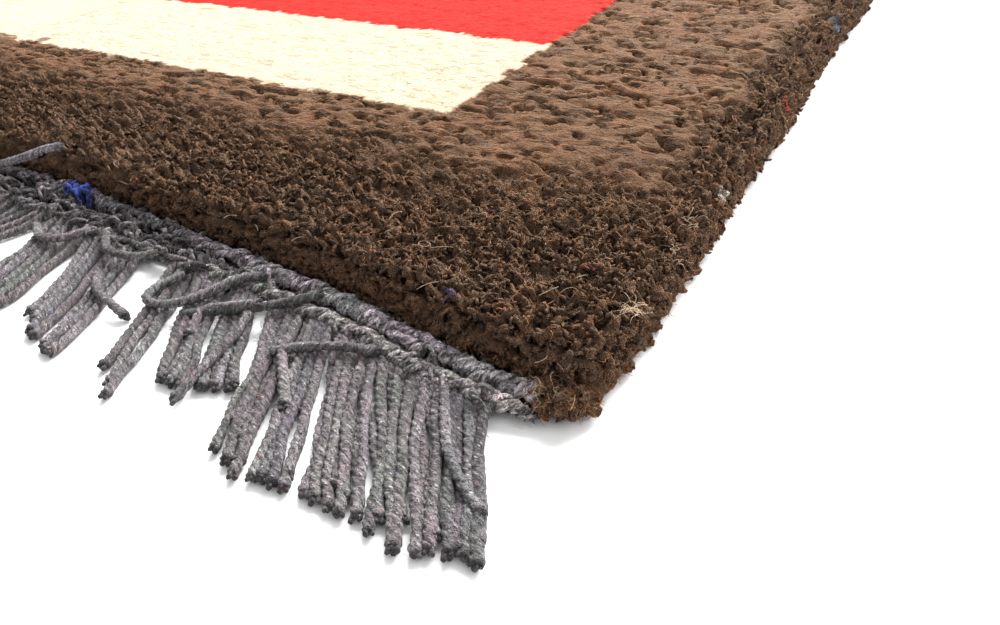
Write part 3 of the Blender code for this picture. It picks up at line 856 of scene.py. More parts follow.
def make_top(wools, rng):
    """The top in three pieces. Gives them, and the points of the one that the camera sees."""
    reach = TOP_STEPS[-1][0]
    across, up = PILE_WIDTH - 2 * TOP_INSET, PILE_LENGTH - 2 * TOP_INSET
    near = graded(0.0, reach, TOP_STEPS)
    corner, *seen = top_patch("pile_corner", near, near, wools, rng)
    left = graded(reach - 1.0, across, ())
    beside = top_patch("pile_beside", left, graded(0.0, reach + 1.0, ()), wools, rng)
    beyond = top_patch("pile_beyond", graded(0.0, across, ()), graded(reach - 1.0, up, ()), wools, rng)
    return [corner, beside[0], beyond[0]], seen


def nap(heap, points, tones, loose, count, rng):
    """Fibres combed down over the top of the pile, mostly along its rows."""
    chosen = rng.integers(0, len(points), count)
    roots = points[chosen] + rng.normal(0, 0.45, (count, 3)) * (1, 1, 0) - (0, 0, 0.12)
    turn = rng.normal(0, 0.35, count) + rng.normal(0, 1.2, count) * loose[chosen]
    turn += math.pi * rng.integers(0, 2, count)
    rising = np.abs(rng.normal(0.14, 0.18, count)) + 0.25 * loose[chosen]
    ways = unit(np.column_stack([np.cos(turn), np.sin(turn), rising]))
    lengths, radii = rng.uniform(1.2, 3.0, count), rng.uniform(0.04, 0.085, count)
    shades = (rng.uniform(0.75, 1.3, count) + loose[chosen] * rng.uniform(-0.2, 1.0, count))[:, None]
    hairs(heap, roots, ways, np.zeros((count, 3)), lengths, radii, faded(tones[chosen], shades), 0)


def curls(heap, points, normals, tones, count, rng):
    """Fibres that curl up off loose clumps."""
    chosen = rng.integers(0, len(points), count)
    out = normals[chosen]
    roots = points[chosen] - 0.2 * out
    ways = rng.normal(0, 1, (count, 3))
    ways = unit(ways - 0.6 * out * (ways * out).sum(1, keepdims=True) + 0.35 * out)
    bends = rng.normal(0, 0.8, (count, 3)) - 0.28 * out
    shades = rng.uniform(0.9, 2.5, (count, 1))
    lengths, radii = rng.uniform(1.3, 3.6, count), rng.uniform(0.05, 0.09, count)
    hairs(heap, roots, ways, bends, lengths, radii, faded(tones[chosen], shades), 2)


def from_corner(tips):
    return np.hypot(PILE_WIDTH / 2 - tips[:, 0], tips[:, 1] + PILE_LENGTH / 2)


def fuzz(heap, ends, chosen, each, length, radius, rng):
    """Short fibres that stand off the chosen yarn ends and curl over them."""
    index = np.repeat(chosen, each)
    count = len(index)
    angle = rng.uniform(0, 2 * math.pi, count)
    up = rng.uniform(0.05, 1.0, count)
    out = np.sqrt(1 - 0.9 * up**2)
    radial = ends.across[index] * np.cos(angle)[:, None] + ends.over[index] * np.sin(angle)[:, None]
    half = ends.widths[index].mean(1)
    roots = (
        ends.tips[index]
        + ends.ways[index] * ((up - 1) * 2.6 - 0.15)[:, None]
        + radial * (out * half * 0.9)[:, None]
    )
    around = np.cross(ends.ways[index], radial) * rng.choice((-1, 1), count)[:, None]
    ways = unit(radial * 0.4 + ends.ways[index] * 0.5 + around * 0.8 + rng.normal(0, 0.35, (count, 3)))
    bends = -radial * 0.45 + around * 0.2 + rng.normal(0, 0.35, (count, 3))
    tones = faded(ends.tones[index], rng.uniform(0.8, 2.1, (count, 1)))
    lengths, radii = length * rng.uniform(0.5, 1.3, count), rng.uniform(*radius, count)
    hairs(heap, roots, ways, bends, lengths, radii, tones, 2)


def spread(first, last, count, index):
    share = index / (count - 1) if count > 1 else 0.5
    return first + (last - first) * share


def plain_locks(end, first_root, first_tip, strands, seed):
    """Locks of fringe that the table doesn't list, in like sizes, up to a number of strands."""
    chance = random.Random(seed)
    sizes = []
    while sum(sizes) < strands:
        sizes.append(min(chance.choice(LOCK_SIZES), strands - sum(sizes)))
    last_root = PILE_WIDTH - WEB_SIDE_CLEARANCE - LAST_ROOT_INSET
    pitch = (last_root - first_root) / (strands + (LOCK_PARTING - 1) * len(sizes))
    root, tip_limit = first_root, first_tip
    locks = []
    for size in sizes:
        root_end = root + pitch * (size - 1)
        middle = (root + root_end) / 2
        wave = math.cos(2 * math.pi * middle / LOCK_LEAN_PITCH)
        lean = LOCK_LEAN * wave + chance.uniform(-1, 1) * LOCK_STRAY
        tip = max(root - lean, tip_limit)
        tip_end = tip + max(STRAND_GAP * (size - 1), root_end - root)
        web_edge = along(end_rows(end), middle, 2) - along(end_rows(end), middle, 1)
        reach = web_edge + chance.uniform(*FREE_LENGTH)
        slope, bow = chance.uniform(-1, 1) * LOCK_STRAY, chance.uniform(-1, 1) * LOCK_STRAY
        locks.append((root, root_end, size, tip, tip_end, reach - slope, reach + slope, bow))
        tip_limit = tip_end + STRAND_GAP
        root = root_end + LOCK_PARTING * pitch
    return locks


def all_locks(end):
    if end > 0:
        return plain_locks(end, FAR_FIRST_ROOT, FAR_FIRST_ROOT - LOCK_LEAN, STRANDS_AN_END, 5)
    listed = sum(lock[2] for lock in NEAR_LOCKS)
    root, tip = NEAR_LOCKS[-1][1] + LOCK_GAP, NEAR_LOCKS[-1][4] + LOCK_GAP
    return list(NEAR_LOCKS) + plain_locks(end, root, tip, STRANDS_AN_END - listed, 8)


CORD_RADIUS = 1.16
CORD_PLIES = (3, 0.22, 6.2)
PLAIN_PLIES = (3, 0.15, 40.0)
CORD_CUT = 1.2
CORD_LIFT = 0.9

# Where a cord comes out of its web: distance in from the web's edge, height.
CORD_ROOT = ((5.5, 1.5), (3.2, 2.0), (1.0, 2.1))

# Distance between a cord's points, near the camera and away from it.
NEAR_STEP = 0.72
FAR_STEP = 2.8

# How many of the listed locks are so full that further cords lie under and between the first ones.
FULL_LOCKS = 6

# Cords that cross others or lie on the web: places from the near right corner, to the left and
# away, with the height of the cord's middle.
STRAY_CORDS = (
    ((-29.0, -7.6, 3.0), (-23.5, -15.5, 3.4), (-19.0, -21.5, 3.2), (-12.3, -26.9, 2.9), (-6.6, -29.9, 2.3)),
    ((-66.5, -11.0, 3.6), (-64.7, -14.0, 3.5), (-58.0, -21.0, 3.0), (-53.4, -25.6, 2.6)),
    ((-66.5, -15.2, 3.4), (-65.7, -14.6, 3.6), (-59.7, -11.0, 4.2), (-52.6, -8.3, 4.6), (-46.0, -6.0, 3.9)),
    ((-95.0, -13.5, 2.6), (-92.0, -11.9, 3.2), (-83.7, -8.0, 3.9), (-76.0, -3.6, 4.8), (-68.9, 3.0, 5.2)),
    ((-88.0, -18.0, 2.6), (-90.0, -15.1, 2.9), (-90.7, -10.8, 3.6), (-84.7, -8.0, 4.6), (-79.2, -5.4, 5.4)),
    ((-106.0, -3.0, 3.8), (-109.2, -8.5, 3.1), (-108.2, -13.0, 3.0), (-103.0, -13.7, 3.2), (-96.0, -9.8, 4.2),
     (-90.3, 0.0, 5.2), (-86.0, 3.5, 5.0)),
    ((-80.0, -8.0, 4.0), (-78.1, -14.4, 3.3), (-76.7, -23.3, 3.0), (-75.7, -33.7, 1.9)),
    ((-128.0, -11.0, 3.4), (-122.1, -16.1, 3.2), (-114.0, -18.1, 2.5), (-108.8, -18.8, 1.1)),
    ((-207.3, 11.0, 5.4), (-199.7, 10.4, 8.3), (-184.0, 12.2, 13.4), (-178.0, 14.3, 15.6),
     (-173.3, 16.5, 16.3)),
    ((-118.0, 2.0, 4.4), (-124.0, -3.5, 4.6), (-133.0, -4.0, 4.4), (-141.0, 1.5, 4.4)),
    ((-146.0, 0.5, 4.4), (-150.0, -5.0, 4.2), (-158.0, -6.5, 3.4), (-165.0, -3.0, 3.4)),
)


def cord(heap, line, tone, detail, rng):
    """One plied fringe cord, thinner here and thicker there, whose plies part at its dark cut tip."""
    run = np.concatenate([[0], np.cumsum(np.linalg.norm(np.diff(line, axis=0), axis=1))])
    to_tip = run[-1] - run
    places = np.column_stack([run, np.zeros_like(run)]) + rng.uniform(0, 900)
    swell = soft_noise(places, 6.0, 61)
    flare = rng.uniform(0.05, 0.26) * np.exp(-((to_tip - 0.9) / 1.2) ** 2)
    close = np.where(to_tip < 0.35, 0.75, 1.0)
    radii = CORD_RADIUS * (1 + 0.17 * swell + flare) * close * rng.uniform(0.88, 1.06)
    cut = CORD_CUT * rng.uniform(0.5, 1.3)
    tip_depth = np.clip(to_tip / cut, 0.0, 1.0) ** 0.7
    plies, sides = (CORD_PLIES, 9) if detail else (PLAIN_PLIES, 6)
    sweep(heap, line, radii, sides, patchy(tone, places, sides), plies, rng.uniform(0, 6.28), tip_depth)
    if not detail:
        return
    ahead = unit(line[-1] - line[-3])
    across = unit(np.cross(ahead, (0.0, 0.0, 1.0)))
    for turn in rng.uniform(0, 6.3) + np.array((0.0, 2.1, 4.2)):
        out = across * math.cos(turn) + np.array((0.0, 0.0, 0.6)) * math.sin(turn)
        reach, splay = rng.uniform(0.2, 1.1), rng.uniform(0.6, 1.25)
        stub = np.array([
            line[-1] - ahead * 1.5 + out * 0.3,
            line[-1] - ahead * 0.5 + out * 0.5,
            line[-1] + ahead * reach * 0.6 + out * 0.75 * splay,
            line[-1] + ahead * reach + out * splay,
        ])
        radii = np.array((0.45, 0.55, 0.52, 0.34)) * rng.uniform(0.8, 1.15)
        sweep(heap, stub, radii, 6, tone, turn=turn, tip_depth=(1.0, 0.7, 0.25, 0.0))


def patchy(tone, places, sides):
    """The tone of each point of a cord, lighter or redder here and there along it."""
    value = 1 + 0.26 * soft_noise(places, 5.0, 63)[:, None]
    tint = 0.07 * soft_noise(places, 7.0, 64)[:, None] * (1.0, -0.5, 0.5)
    along_it = np.repeat(tone * value * (1 + tint), sides, axis=0)
    return np.concatenate([along_it, along_it[[0, -1]]])


def yarn_tone(rng):
    return np.array(YARN) * rng.uniform(0.72, 1.22) * (1 + rng.normal(0, 0.022, 3))


def fringe_cords(heap, end, rng):
    """The fringe of one end, each cord on the route that its solid has."""
    chance = random.Random(31 + end)
    lines = []
    for number, lock in enumerate(all_locks(end)):
        first_root, last_root, count, first_tip, last_tip, first_reach, last_reach, bow = lock
        detail = end < 0 and number < len(NEAR_LOCKS) + 1
        full = end < 0 and number < FULL_LOCKS
        for i in np.arange(0, count - 0.1, 0.5 if full else 1.0):
            under = i % 1 > 0
            root = spread(first_root, last_root, count, i)
            tip = spread(first_tip, last_tip, count, i)
            reach = spread(first_reach, last_reach, count, i) + chance.uniform(-1, 1) * STRAND_UNEVEN
            reach -= rng.uniform(0.5, 5.0) if under else 0.6
            root_x, tip_x = PILE_WIDTH / 2 - root, PILE_WIDTH / 2 - tip
            edge = end_y(end, root_x) + end * web_width(end, root_x)
            tip_y = end * (PILE_LENGTH / 2 + reach)
            points = [(root_x, edge - end * inside, height) for inside, height in CORD_ROOT]
            lift = CORD_LIFT if full and not under else 0.0
            for share in (0.16, 0.45, 0.75, 1.0):
                x = root_x + (tip_x - root_x) * share + 4 * bow * share * (1 - share)
                stray = rng.normal(0, 0.42)
                height = CORD_RADIUS + max(0.0, 0.35 - share) + lift * (1 - share**3)
                points.append((x + stray, edge + (tip_y - edge) * share, height))
            step = NEAR_STEP if detail else FAR_STEP
            line = smooth_line(points, step)
            run = np.arange(len(line)) * step
            sway = soft_noise(np.column_stack([run, run * 0]) + rng.uniform(0, 900), 6.0, 62)
            line[:, 0] += 0.62 * sway * np.clip(run / 14 - 0.5, 0, 1)
            cord(heap, line, yarn_tone(rng), detail, rng)
            lines.append(line)
    return lines


def make_fringe(end, name, material, rng):
    heap = Heap()
    lines = fringe_cords(heap, end, rng)
    if end < 0:
        for places in STRAY_CORDS:
            points = np.array(places) + (PILE_WIDTH / 2, -PILE_LENGTH / 2, 0.0)
            lines.append(smooth_line(points, NEAR_STEP))
            cord(heap, lines[-1], yarn_tone(rng), True, rng)
    return heap.make(name, [material]), lines


# Twined ropes of a web, from the pile outwards: share of the web's width, distance added to that,
# height of the middle, radius of a strand, distance of the strands from the rope's middle, pitch,
# where it starts from the right-hand side, shade. The shade is partly painted shade: the lower
# middle rope is painted darker, as the shadow between the two outer ones.
ROPES = (
    (0.0, 2.6, 3.6, 1.40, 1.15, 9.5, 7.5, 2.30),
    (0.5, 0.3, 2.6, 0.90, 0.85, 8.0, 88.0, 1.00),
    (1.0, -2.4, 2.9, 1.08, 0.95, 8.5, 9.5, 1.95),
)
ROPE_STEP_NEAR = 0.9
ROPE_STEP_FAR = 3.2
ROPE_NEAR_REACH = 190
ROPE_TAPER = 4.5
ROPE_PLIES = (3, 0.20, 6.0)


def make_ropes(end, name, material, rng):
    """The web's twined ropes: two strands round each other, which hold the warps between them."""
    heap = Heap()
    lines = []
    for share, added, height, radius, apart, pitch, first, shade in ROPES:
        start = PILE_WIDTH / 2 - first
        stop = -PILE_WIDTH / 2 + first
        near = [start]
        if end < 0:
            near = np.arange(start, PILE_WIDTH / 2 - ROPE_NEAR_REACH, -ROPE_STEP_NEAR)
        xs = np.concatenate([near, np.arange(near[-1], stop, -ROPE_STEP_FAR)[1:]])
        seed = rng.uniform(0, 50)
        open_part = rise(PILE_WIDTH / 2 - xs, 75, 125) if end < 0 else np.zeros(len(xs))
        for strand in (0, 1):
            line = []
            for x, slack in zip(xs, open_part):
                sway = noise.noise(Vector((x / 13.0, seed, 0.0)))
                wander = noise.noise(Vector((x / 5.0, seed, 9.0 + strand)))
                turn = 2 * math.pi * (x / pitch + 1.3 * sway) + math.pi * strand
                out = share * web_width(end, x) + added + 1.1 * sway + (0.7 + 1.3 * slack) * wander
                out += apart * math.cos(turn)
                line.append((x, end_y(end, x) + end * out, height + apart * 0.75 * math.sin(turn)))
            swell = np.array([noise.noise(Vector((x / 2.6, seed, 4.0 + strand))) for x in xs])
            taper = np.clip(np.minimum(start - xs, xs - stop) / ROPE_TAPER, 0.25, 1.0)
            line = np.array(line)
            line[:, 2] = line[:, 2] * (0.45 + 0.55 * taper)
            radii = radius * (1 + 0.55 * swell) * taper * (1 - 0.34 * open_part)
            places = np.column_stack([xs, np.full(len(xs), seed + strand)])
            # Painted shade: the ropes are painted darker where the twining opens, for the shade in its gaps.
            shades = (shade * (1 - 0.50 * open_part))[:, None]
            tones = patchy(yarn_tone(rng) * shades, places, 9)
            sweep(heap, line, radii, 9, tones, ROPE_PLIES, rng.uniform(0, 6.28))
            lines.append(line)
    return heap.make(name, [material]), lines


KNOT_PLIES = (2, 0.22, 5.0)

# A tuft of blue waste yarn caught in the near web: its place from the near right corner.
BLUE_TUFT = (-167.5, 12.8, 6.3)
BLUE = (0.025, 0.045, 0.26)

# Knots and loops of yarn on the web where its twining is loose: how many to 100 mm, at the near
# end and the far one.
KNOT_DENSITY = (110, 22)


def make_knots(end, name, material, rng):
    """Short bights of yarn over the web, which make it rough where it isn't tightly twined."""
    heap = Heap()
    half = PILE_WIDTH / 2 - WEB_SIDE_CLEARANCE - 1
    bights = []
    for _ in range(int(2 * half * KNOT_DENSITY[0 if end < 0 else 1] / 100)):
        x = rng.uniform(-half, half)
        from_right = PILE_WIDTH / 2 - x
        loose = 1.0 if end > 0 else min(max((from_right - 70) / 60, 0.50), 1.0)
        thin = end < 0 and from_right > ROPE_NEAR_REACH + 60
        if rng.uniform() > loose * (0.25 if thin else 1.0):
            continue
        width = web_width(end, x)
        out = rng.uniform(0.3, width - 0.6)
        if end < 0 and from_right < 75:
            out = rng.choice((rng.uniform(0.4, 4.6), rng.uniform(width - 3.2, width - 0.6)))
        tone = yarn_tone(rng) * rng.uniform(0.4, 2.3 if loose < 0.8 else 1.3)
        bights.append((x, end_y(end, x) + end * out, rng.uniform(3.4, 5.4), tone))
    if end < 0:
        x, y, z = np.array(BLUE_TUFT) + (PILE_WIDTH / 2, -PILE_LENGTH / 2, 0)
        for _ in range(14):
            shift = rng.normal(0, (2.2, 1.0, 1.0))
            bights.append((x + shift[0], y + shift[1], z + shift[2], np.array(BLUE) * rng.uniform(0.4, 1.5)))
    for x, y, top, tone in bights:
        turn = rng.uniform(0, 2 * math.pi)
        reach = rng.uniform(1.4, 2.8)
        way = np.array([math.cos(turn), math.sin(turn)])
        side = np.array([-way[1], way[0]]) * rng.uniform(-1.2, 1.2)
        centre = np.array([x, y])
        low = max(1.8, top - 3.0)
        points = [
            (*(centre - way * reach), low),
            (*(centre - way * reach * 0.6 + side * 0.6), top - 0.6),
            (*(centre + side), top),
            (*(centre + way * reach * 0.6 + side * 0.6), top - 0.7),
            (*(centre + way * reach), low),
        ]
        radius = rng.uniform(0.5, 0.85)
        sweep(heap, smooth_line(points, 1.4), radius, 6, tone, KNOT_PLIES, rng.uniform(0, 6.28))
    return heap.make(name, [material])


# The web's closed strip: share of the web's width, distance added to that, height, by line, and
# how far it stays inside the web's ends.
WEB_BASE = ((0.0, -7.3, 2.3), (0.0, 0.6, 2.3), (0.5, -0.6, 1.5), (1.0, -4.5, 1.8), (1.0, -3.2, 1.0))
WEB_COLUMNS = 60
WEB_GROUND_INSET = 2.6


def make_web(end, name, material):
    """The web's closed strip, which its ropes, knots and cords lie on."""
    half = PILE_WIDTH / 2 - WEB_SIDE_CLEARANCE - WEB_GROUND_INSET
    body = bmesh.new()
    bmesh.ops.create_grid(body, x_segments=WEB_COLUMNS, y_segments=len(WEB_BASE) - 1, size=1.0)
    body.verts.ensure_lookup_table()
    for index, vertex in enumerate(body.verts):
        row, column = divmod(index, WEB_COLUMNS + 1)
        x = -half + 2 * half * column / WEB_COLUMNS
        share, added, height = WEB_BASE[row]
        vertex.co = (x, end_y(end, x) + end * (share * web_width(end, x) + added), height)
    close_down(body)
    return from_bmesh(body, name, [material])


def close_down(body):
    """Closes a sheet's rim down to the floor and across it."""
    rim = [edge for edge in body.edges if edge.is_boundary]
    made = bmesh.ops.extrude_edge_only(body, edges=rim)["geom"]
    rim = [item for item in made if isinstance(item, bmesh.types.BMEdge) and item.is_boundary]
    for vertex in [item for item in made if isinstance(item, bmesh.types.BMVert)]:
        vertex.co.z = 0.0
    bmesh.ops.contextual_create(body, geom=rim)
    bmesh.ops.recalc_face_normals(body, faces=body.faces)


def from_bmesh(body, name, materials):
    for vertex in body.verts:
        vertex.co *= MM
    mesh = bpy.data.meshes.new(name)
    body.to_mesh(mesh)
    body.free()
    for material in materials:
        mesh.materials.append(material)
    return placed(name, mesh)


GROUND_TOP = 9.6
GROUND_INSET = 4.4
GROUND_CELLS_ACROSS = 30
GROUND_CELLS_ALONG = 44


def grid_lines(size, border, cells):
    """Grid lines from one edge to the other, with one on each boundary between colours."""
    inner = [size / 2 - inset for inset in border]
    steps = np.linspace(-inner[-1], inner[-1], cells)
    edge = size / 2 - GROUND_INSET
    return [-edge, *(-value for value in inner[:-1]), *steps, *inner[:-1][::-1], edge]


def make_ground(name, materials):
    """The foundation with the roots of the pile: one closed slab under the yarn ends."""
    xs = grid_lines(PILE_WIDTH, (BORDER_SIDE,), GROUND_CELLS_ACROSS)
    ys = grid_lines(PILE_LENGTH, (BORDER_END, BORDER_END + BAND), GROUND_CELLS_ALONG)
    body = bmesh.new()
    bmesh.ops.create_grid(body, x_segments=len(xs) - 1, y_segments=len(ys) - 1, size=1.0)
    body.verts.ensure_lookup_table()
    for index, vertex in enumerate(body.verts):
        vertex.co = (xs[index % len(xs)], ys[index // len(xs)], GROUND_TOP)
    for face in body.faces:
        centre = face.calc_center_median()
        face.material_index = zone_of(centre.x, centre.y)
    for vertex in body.verts:
        vertex.co.x, vertex.co.y = on_rug(vertex.co.x, vertex.co.y)
    close_down(body)
    return from_bmesh(body, name, materials)


SELVEDGE_WIDTH = 7.0
SELVEDGE_HEIGHT = 5.3
SELVEDGE_INSET = 3.9
SELVEDGE_PAST_END = 3.0
WRAP_PITCH = 2.7
SELVEDGE_STEP_FINE = 0.6
SELVEDGE_STEP = 1.5
SELVEDGE_FINE_REACH = 60


def make_selvedge(side, name, material, rng):
    """The outermost warps, overcast with thick wool whose turns stand up as slanted ridges."""
    heap = Heap()
    x_of_end = side * (PILE_WIDTH / 2 - SELVEDGE_INSET)
    start = end_y(-1, x_of_end) - SELVEDGE_PAST_END
    stop = end_y(1, x_of_end) + SELVEDGE_PAST_END
    fine = np.arange(start, start + SELVEDGE_FINE_REACH, SELVEDGE_STEP_FINE)
    ys = np.concatenate([fine, np.arange(fine[-1], stop, SELVEDGE_STEP)[1:], [stop]])
    sides = 10
    angle = np.arange(sides) * 2 * math.pi / sides
    line = np.array([(side_x(side, y) - side * SELVEDGE_INSET, y, SELVEDGE_HEIGHT / 2) for y in ys])
    wraps = (ys[:, None] + 0.9 * np.cos(angle + 0.6)[None]) / WRAP_PITCH
    wobble = np.array([[noise.noise(Vector((y / 2.4, 1.6 * a, side * 3.0))) for a in angle] for y in ys])
    ridge = np.abs(np.sin(math.pi * (wraps + 0.5 * wobble)))
    taper = np.clip(np.minimum(ys - ys[0], ys[-1] - ys) / 2.4, 0.0, 1.0) ** 0.5
    reach = (0.78 + 0.18 * ridge + 0.30 * wobble) * (0.45 + 0.55 * taper)[:, None]
    width, height = SELVEDGE_WIDTH / 2, SELVEDGE_HEIGHT / 2
    section = [reach * np.cos(angle) * width, np.zeros_like(reach), reach * np.sin(angle) * height]
    points = line[:, None] + np.stack(section, axis=-1)
    points[..., 2] = np.maximum(points[..., 2], 0.05)
    around = np.broadcast_to(angle, reach.shape)
    grain = np.stack([wraps * WRAP_PITCH * 1.6, around, ridge], axis=-1).reshape(-1, 3)
    rings = len(ys)
    # Painted light and shade: the ridges of the turns are painted lighter and the grooves between them
    # darker.
    tone = np.array(BROWN) * (0.75 + 0.45 * ridge.reshape(-1, 1) + 0.6 * wobble.reshape(-1, 1))
    ends = np.array([line[0], line[-1]])
    heap.add(
        np.concatenate([points.reshape(-1, 3), ends]),
        np.concatenate([grain, grain[[0, -1]]]),
        np.concatenate([tone, tone[[0, -1]]]),
        # Painted shade: the depth darkens the grooves between the ridges.
        np.concatenate([(0.45 + 0.55 * ridge).ravel(), [0.6, 0.6]]),
        *tube_faces(rings, sides),
    )
    return heap.make(name, [material]), line, tone.reshape(rings, sides, 3)


def selvedge_fuzz(heap, line, tone, reach, count, rng):
    """Hairs that stand off a selvedge, by its distance from its near end."""
    seen = np.flatnonzero(line[:, 1] < line[0, 1] + reach)
    chosen = rng.choice(seen, count)
    turn = rng.uniform(-1.2, math.pi, count)
    out = np.column_stack([np.cos(turn), rng.normal(0, 0.3, count), np.sin(turn)])
    roots = line[chosen] + out * (SELVEDGE_WIDTH / 2 * 0.85, 1.0, SELVEDGE_HEIGHT / 2 * 0.85)
    roots[:, 2] = np.maximum(roots[:, 2], 0.4)
    ways = unit(out * 0.5 + rng.normal(0, 0.7, (count, 3)))
    ways[:, 2] = np.abs(ways[:, 2])
    tones = tone[chosen, 0] * rng.uniform(1.0, 3.2, (count, 1))
    lengths, radii = rng.uniform(0.9, 2.6, count), rng.uniform(0.04, 0.075, count)
    hairs(heap, roots, ways, rng.normal(0, 0.5, (count, 3)), lengths, radii, tones, 2)


# Materials. Each helper adds one node and returns the socket that the next one reads.


def new_material(name):
    material = bpy.data.materials.new(name)
    material.use_nodes = True
    return material, material.node_tree


def attribute(tree, name, output):
    node = tree.nodes.new("ShaderNodeAttribute")
    node.attribute_name = name
    return node.outputs[output]


def noise_value(tree, vector, scale, detail, distortion=0.0):
    node = tree.nodes.new("ShaderNodeTexNoise")
    node.inputs["Scale"].default_value = scale
    node.inputs["Detail"].default_value = detail
    node.inputs["Distortion"].default_value = distortion
    tree.links.new(vector, node.inputs["Vector"])
    return node.outputs["Fac"]


def remap(tree, value, low, high, to_low, to_high):
    node = tree.nodes.new("ShaderNodeMapRange")
    for name, bound in zip(("From Min", "From Max", "To Min", "To Max"), (low, high, to_low, to_high)):
        node.inputs[name].default_value = bound
    tree.links.new(value, node.inputs["Value"])
    return node.outputs["Result"]


def maths(tree, operation, first, second):
    node = tree.nodes.new("ShaderNodeMath")
    node.operation = operation
    tree.links.new(first, node.inputs[0])
    if isinstance(second, (int, float)):
        node.inputs[1].default_value = second
    else:
        tree.links.new(second, node.inputs[1])
    return node.outputs[0]


def strands(tree, vector, scale, width):
    """Thin wandering lines, 1 along their middle and 0 between them."""
    value = noise_value(tree, vector, scale, 1.0, 1.2)
    away = maths(tree, "ABSOLUTE", maths(tree, "SUBTRACT", value, 0.5), 0.0)
    return remap(tree, away, 0.0, width, 1.0, 0.0)


def by_openness(tree, value, openness, matted, loose):
    """A value by how strong it is in matted wool and in loose wool."""
    return maths(tree, "MULTIPLY", value, remap(tree, openness, 0.0, 1.0, matted, loose))


def scaled(tree, colour, factor):
    node = tree.nodes.new("ShaderNodeVectorMath")
    node.operation = "SCALE"
    tree.links.new(colour, node.inputs[0])
    tree.links.new(factor, node.inputs["Scale"])
    return node.outputs[0]


def mixed(tree, factor, colour, other):
    node = tree.nodes.new("ShaderNodeMix")
    node.data_type = "RGBA"
    tree.links.new(factor, node.inputs["Factor"])
    tree.links.new(colour, node.inputs["A"])
    if isinstance(other, tuple):
        node.inputs["B"].default_value = (*other, 1.0)
    else:
        tree.links.new(other, node.inputs["B"])
    return node.outputs["Result"]


def bump(tree, height, strength, distance):
    node = tree.nodes.new("ShaderNodeBump")
    node.inputs["Strength"].default_value = strength
    node.inputs["Distance"].default_value = distance * MM
    tree.links.new(height, node.inputs["Height"])
    return node.outputs["Normal"]


def finish_cloth(tree, colour, normal, sheen, sheen_roughness, tint=(1.0, 1.0, 1.0)):
    shader = tree.nodes["Principled BSDF"]
    shader.inputs["Roughness"].default_value = 0.95
    shader.inputs["Specular IOR Level"].default_value = 0.07
    shader.inputs["Sheen Weight"].default_value = sheen
    shader.inputs["Sheen Roughness"].default_value = sheen_roughness
    shader.inputs["Sheen Tint"].default_value = (*tint, 1.0)
    tree.links.new(colour, shader.inputs["Base Color"])
    tree.links.new(normal, shader.inputs["Normal"])


# Colour of the wool's sheen by zone, and its strength.
WOOL_TINTS = ((1.0, 0.66, 0.44), (1.0, 0.92, 0.76), (1.0, 0.14, 0.10))
WOOL_SHEEN = 0.32

# How strongly the fibres stand out, by zone and on the rim.
WOOL_CONTRASTS = (1.0, 0.20, 0.24)
RIM_CONTRAST = 1.08


def wool_material(name, sheen, tint, contrast):
    """Carded wool: soft and dashed where it is matted, curled where loose, with painted shade in the dashes,
    between the curls and deep in the pile.
    """
    material, tree = new_material(name)
    grain = attribute(tree, "grain", "Vector")
    openness = attribute(tree, "tone", "Alpha")
    clump = noise_value(tree, grain, 0.65, 3.0, 1.0)
    curl = noise_value(tree, grain, 1.05, 1.5, 1.8)
    fibre = noise_value(tree, grain, 2.2, 4.0, 1.6)
    pits = noise_value(tree, grain, 0.46, 1.0, 0.4)
    lines = maths(tree, "MAXIMUM", strands(tree, grain, 0.85, 0.045), strands(tree, grain, 1.7, 0.06))
    lines = by_openness(tree, lines, openness, 0.15, 1.0)
    # Painted shade: the depth darkens the wool in its crevices and towards its roots.
    depth = remap(tree, attribute(tree, "depth", "Fac"), 0.15, 1.0, 0.05, 1.0)
    streaks = remap(tree, fibre, 0.34, 0.66, -0.66 * contrast, 0.10 * contrast)
    streaks = by_openness(tree, streaks, openness, 0.40, 0.9)
    bright = maths(tree, "MULTIPLY", lines, 0.7 * contrast)
    shade = maths(tree, "ADD", maths(tree, "ADD", streaks, 1.0), bright)
    patches = remap(tree, clump, 0.34, 0.62, -0.55 * contrast, 0.25 * contrast)
    patches = by_openness(tree, patches, openness, 0.55, 1.0)
    shade = maths(tree, "MULTIPLY", shade, maths(tree, "ADD", patches, 1.0))
    # Painted shade: the curl pattern darkens the wool between the curls.
    curled = remap(tree, curl, 0.40, 0.58, -0.80 * contrast, 0.35 * contrast)
    curled = by_openness(tree, curled, openness, 0.15, 1.0)
    shade = maths(tree, "MULTIPLY", shade, maths(tree, "ADD", curled, 1.0))
    # Painted shade: dark dashes for the crevices between the matted rows.
    dark = remap(tree, pits, 0.36, 0.44, 1 - 0.62 * contrast, 1.0)
    shade = maths(tree, "MULTIPLY", shade, dark)
    colour = scaled(tree, attribute(tree, "tone", "Color"), maths(tree, "MULTIPLY", depth, shade))
    height = maths(tree, "ADD", fibre, maths(tree, "MULTIPLY", clump, 1.8))
    height = maths(tree, "ADD", height, maths(tree, "MULTIPLY", lines, 0.5))
    height = maths(tree, "ADD", height, maths(tree, "ADD", dark, curled))
    finish_cloth(tree, colour, bump(tree, height, 1.0, 0.3 + 0.7 * contrast), sheen, 0.4, tint)
    return material


def hair_material(name):
    """Loose fibres, one colour along each."""
    material, tree = new_material(name)
    grain = attribute(tree, "grain", "Vector")
    fibre = noise_value(tree, grain, 0.5, 2.0)
    colour = scaled(tree, attribute(tree, "tone", "Color"), remap(tree, fibre, 0.3, 0.7, 0.8, 1.2))
    finish_cloth(tree, colour, bump(tree, fibre, 0.2, 0.1), 0.15, 0.5, WOOL_TINTS[0])
    return material


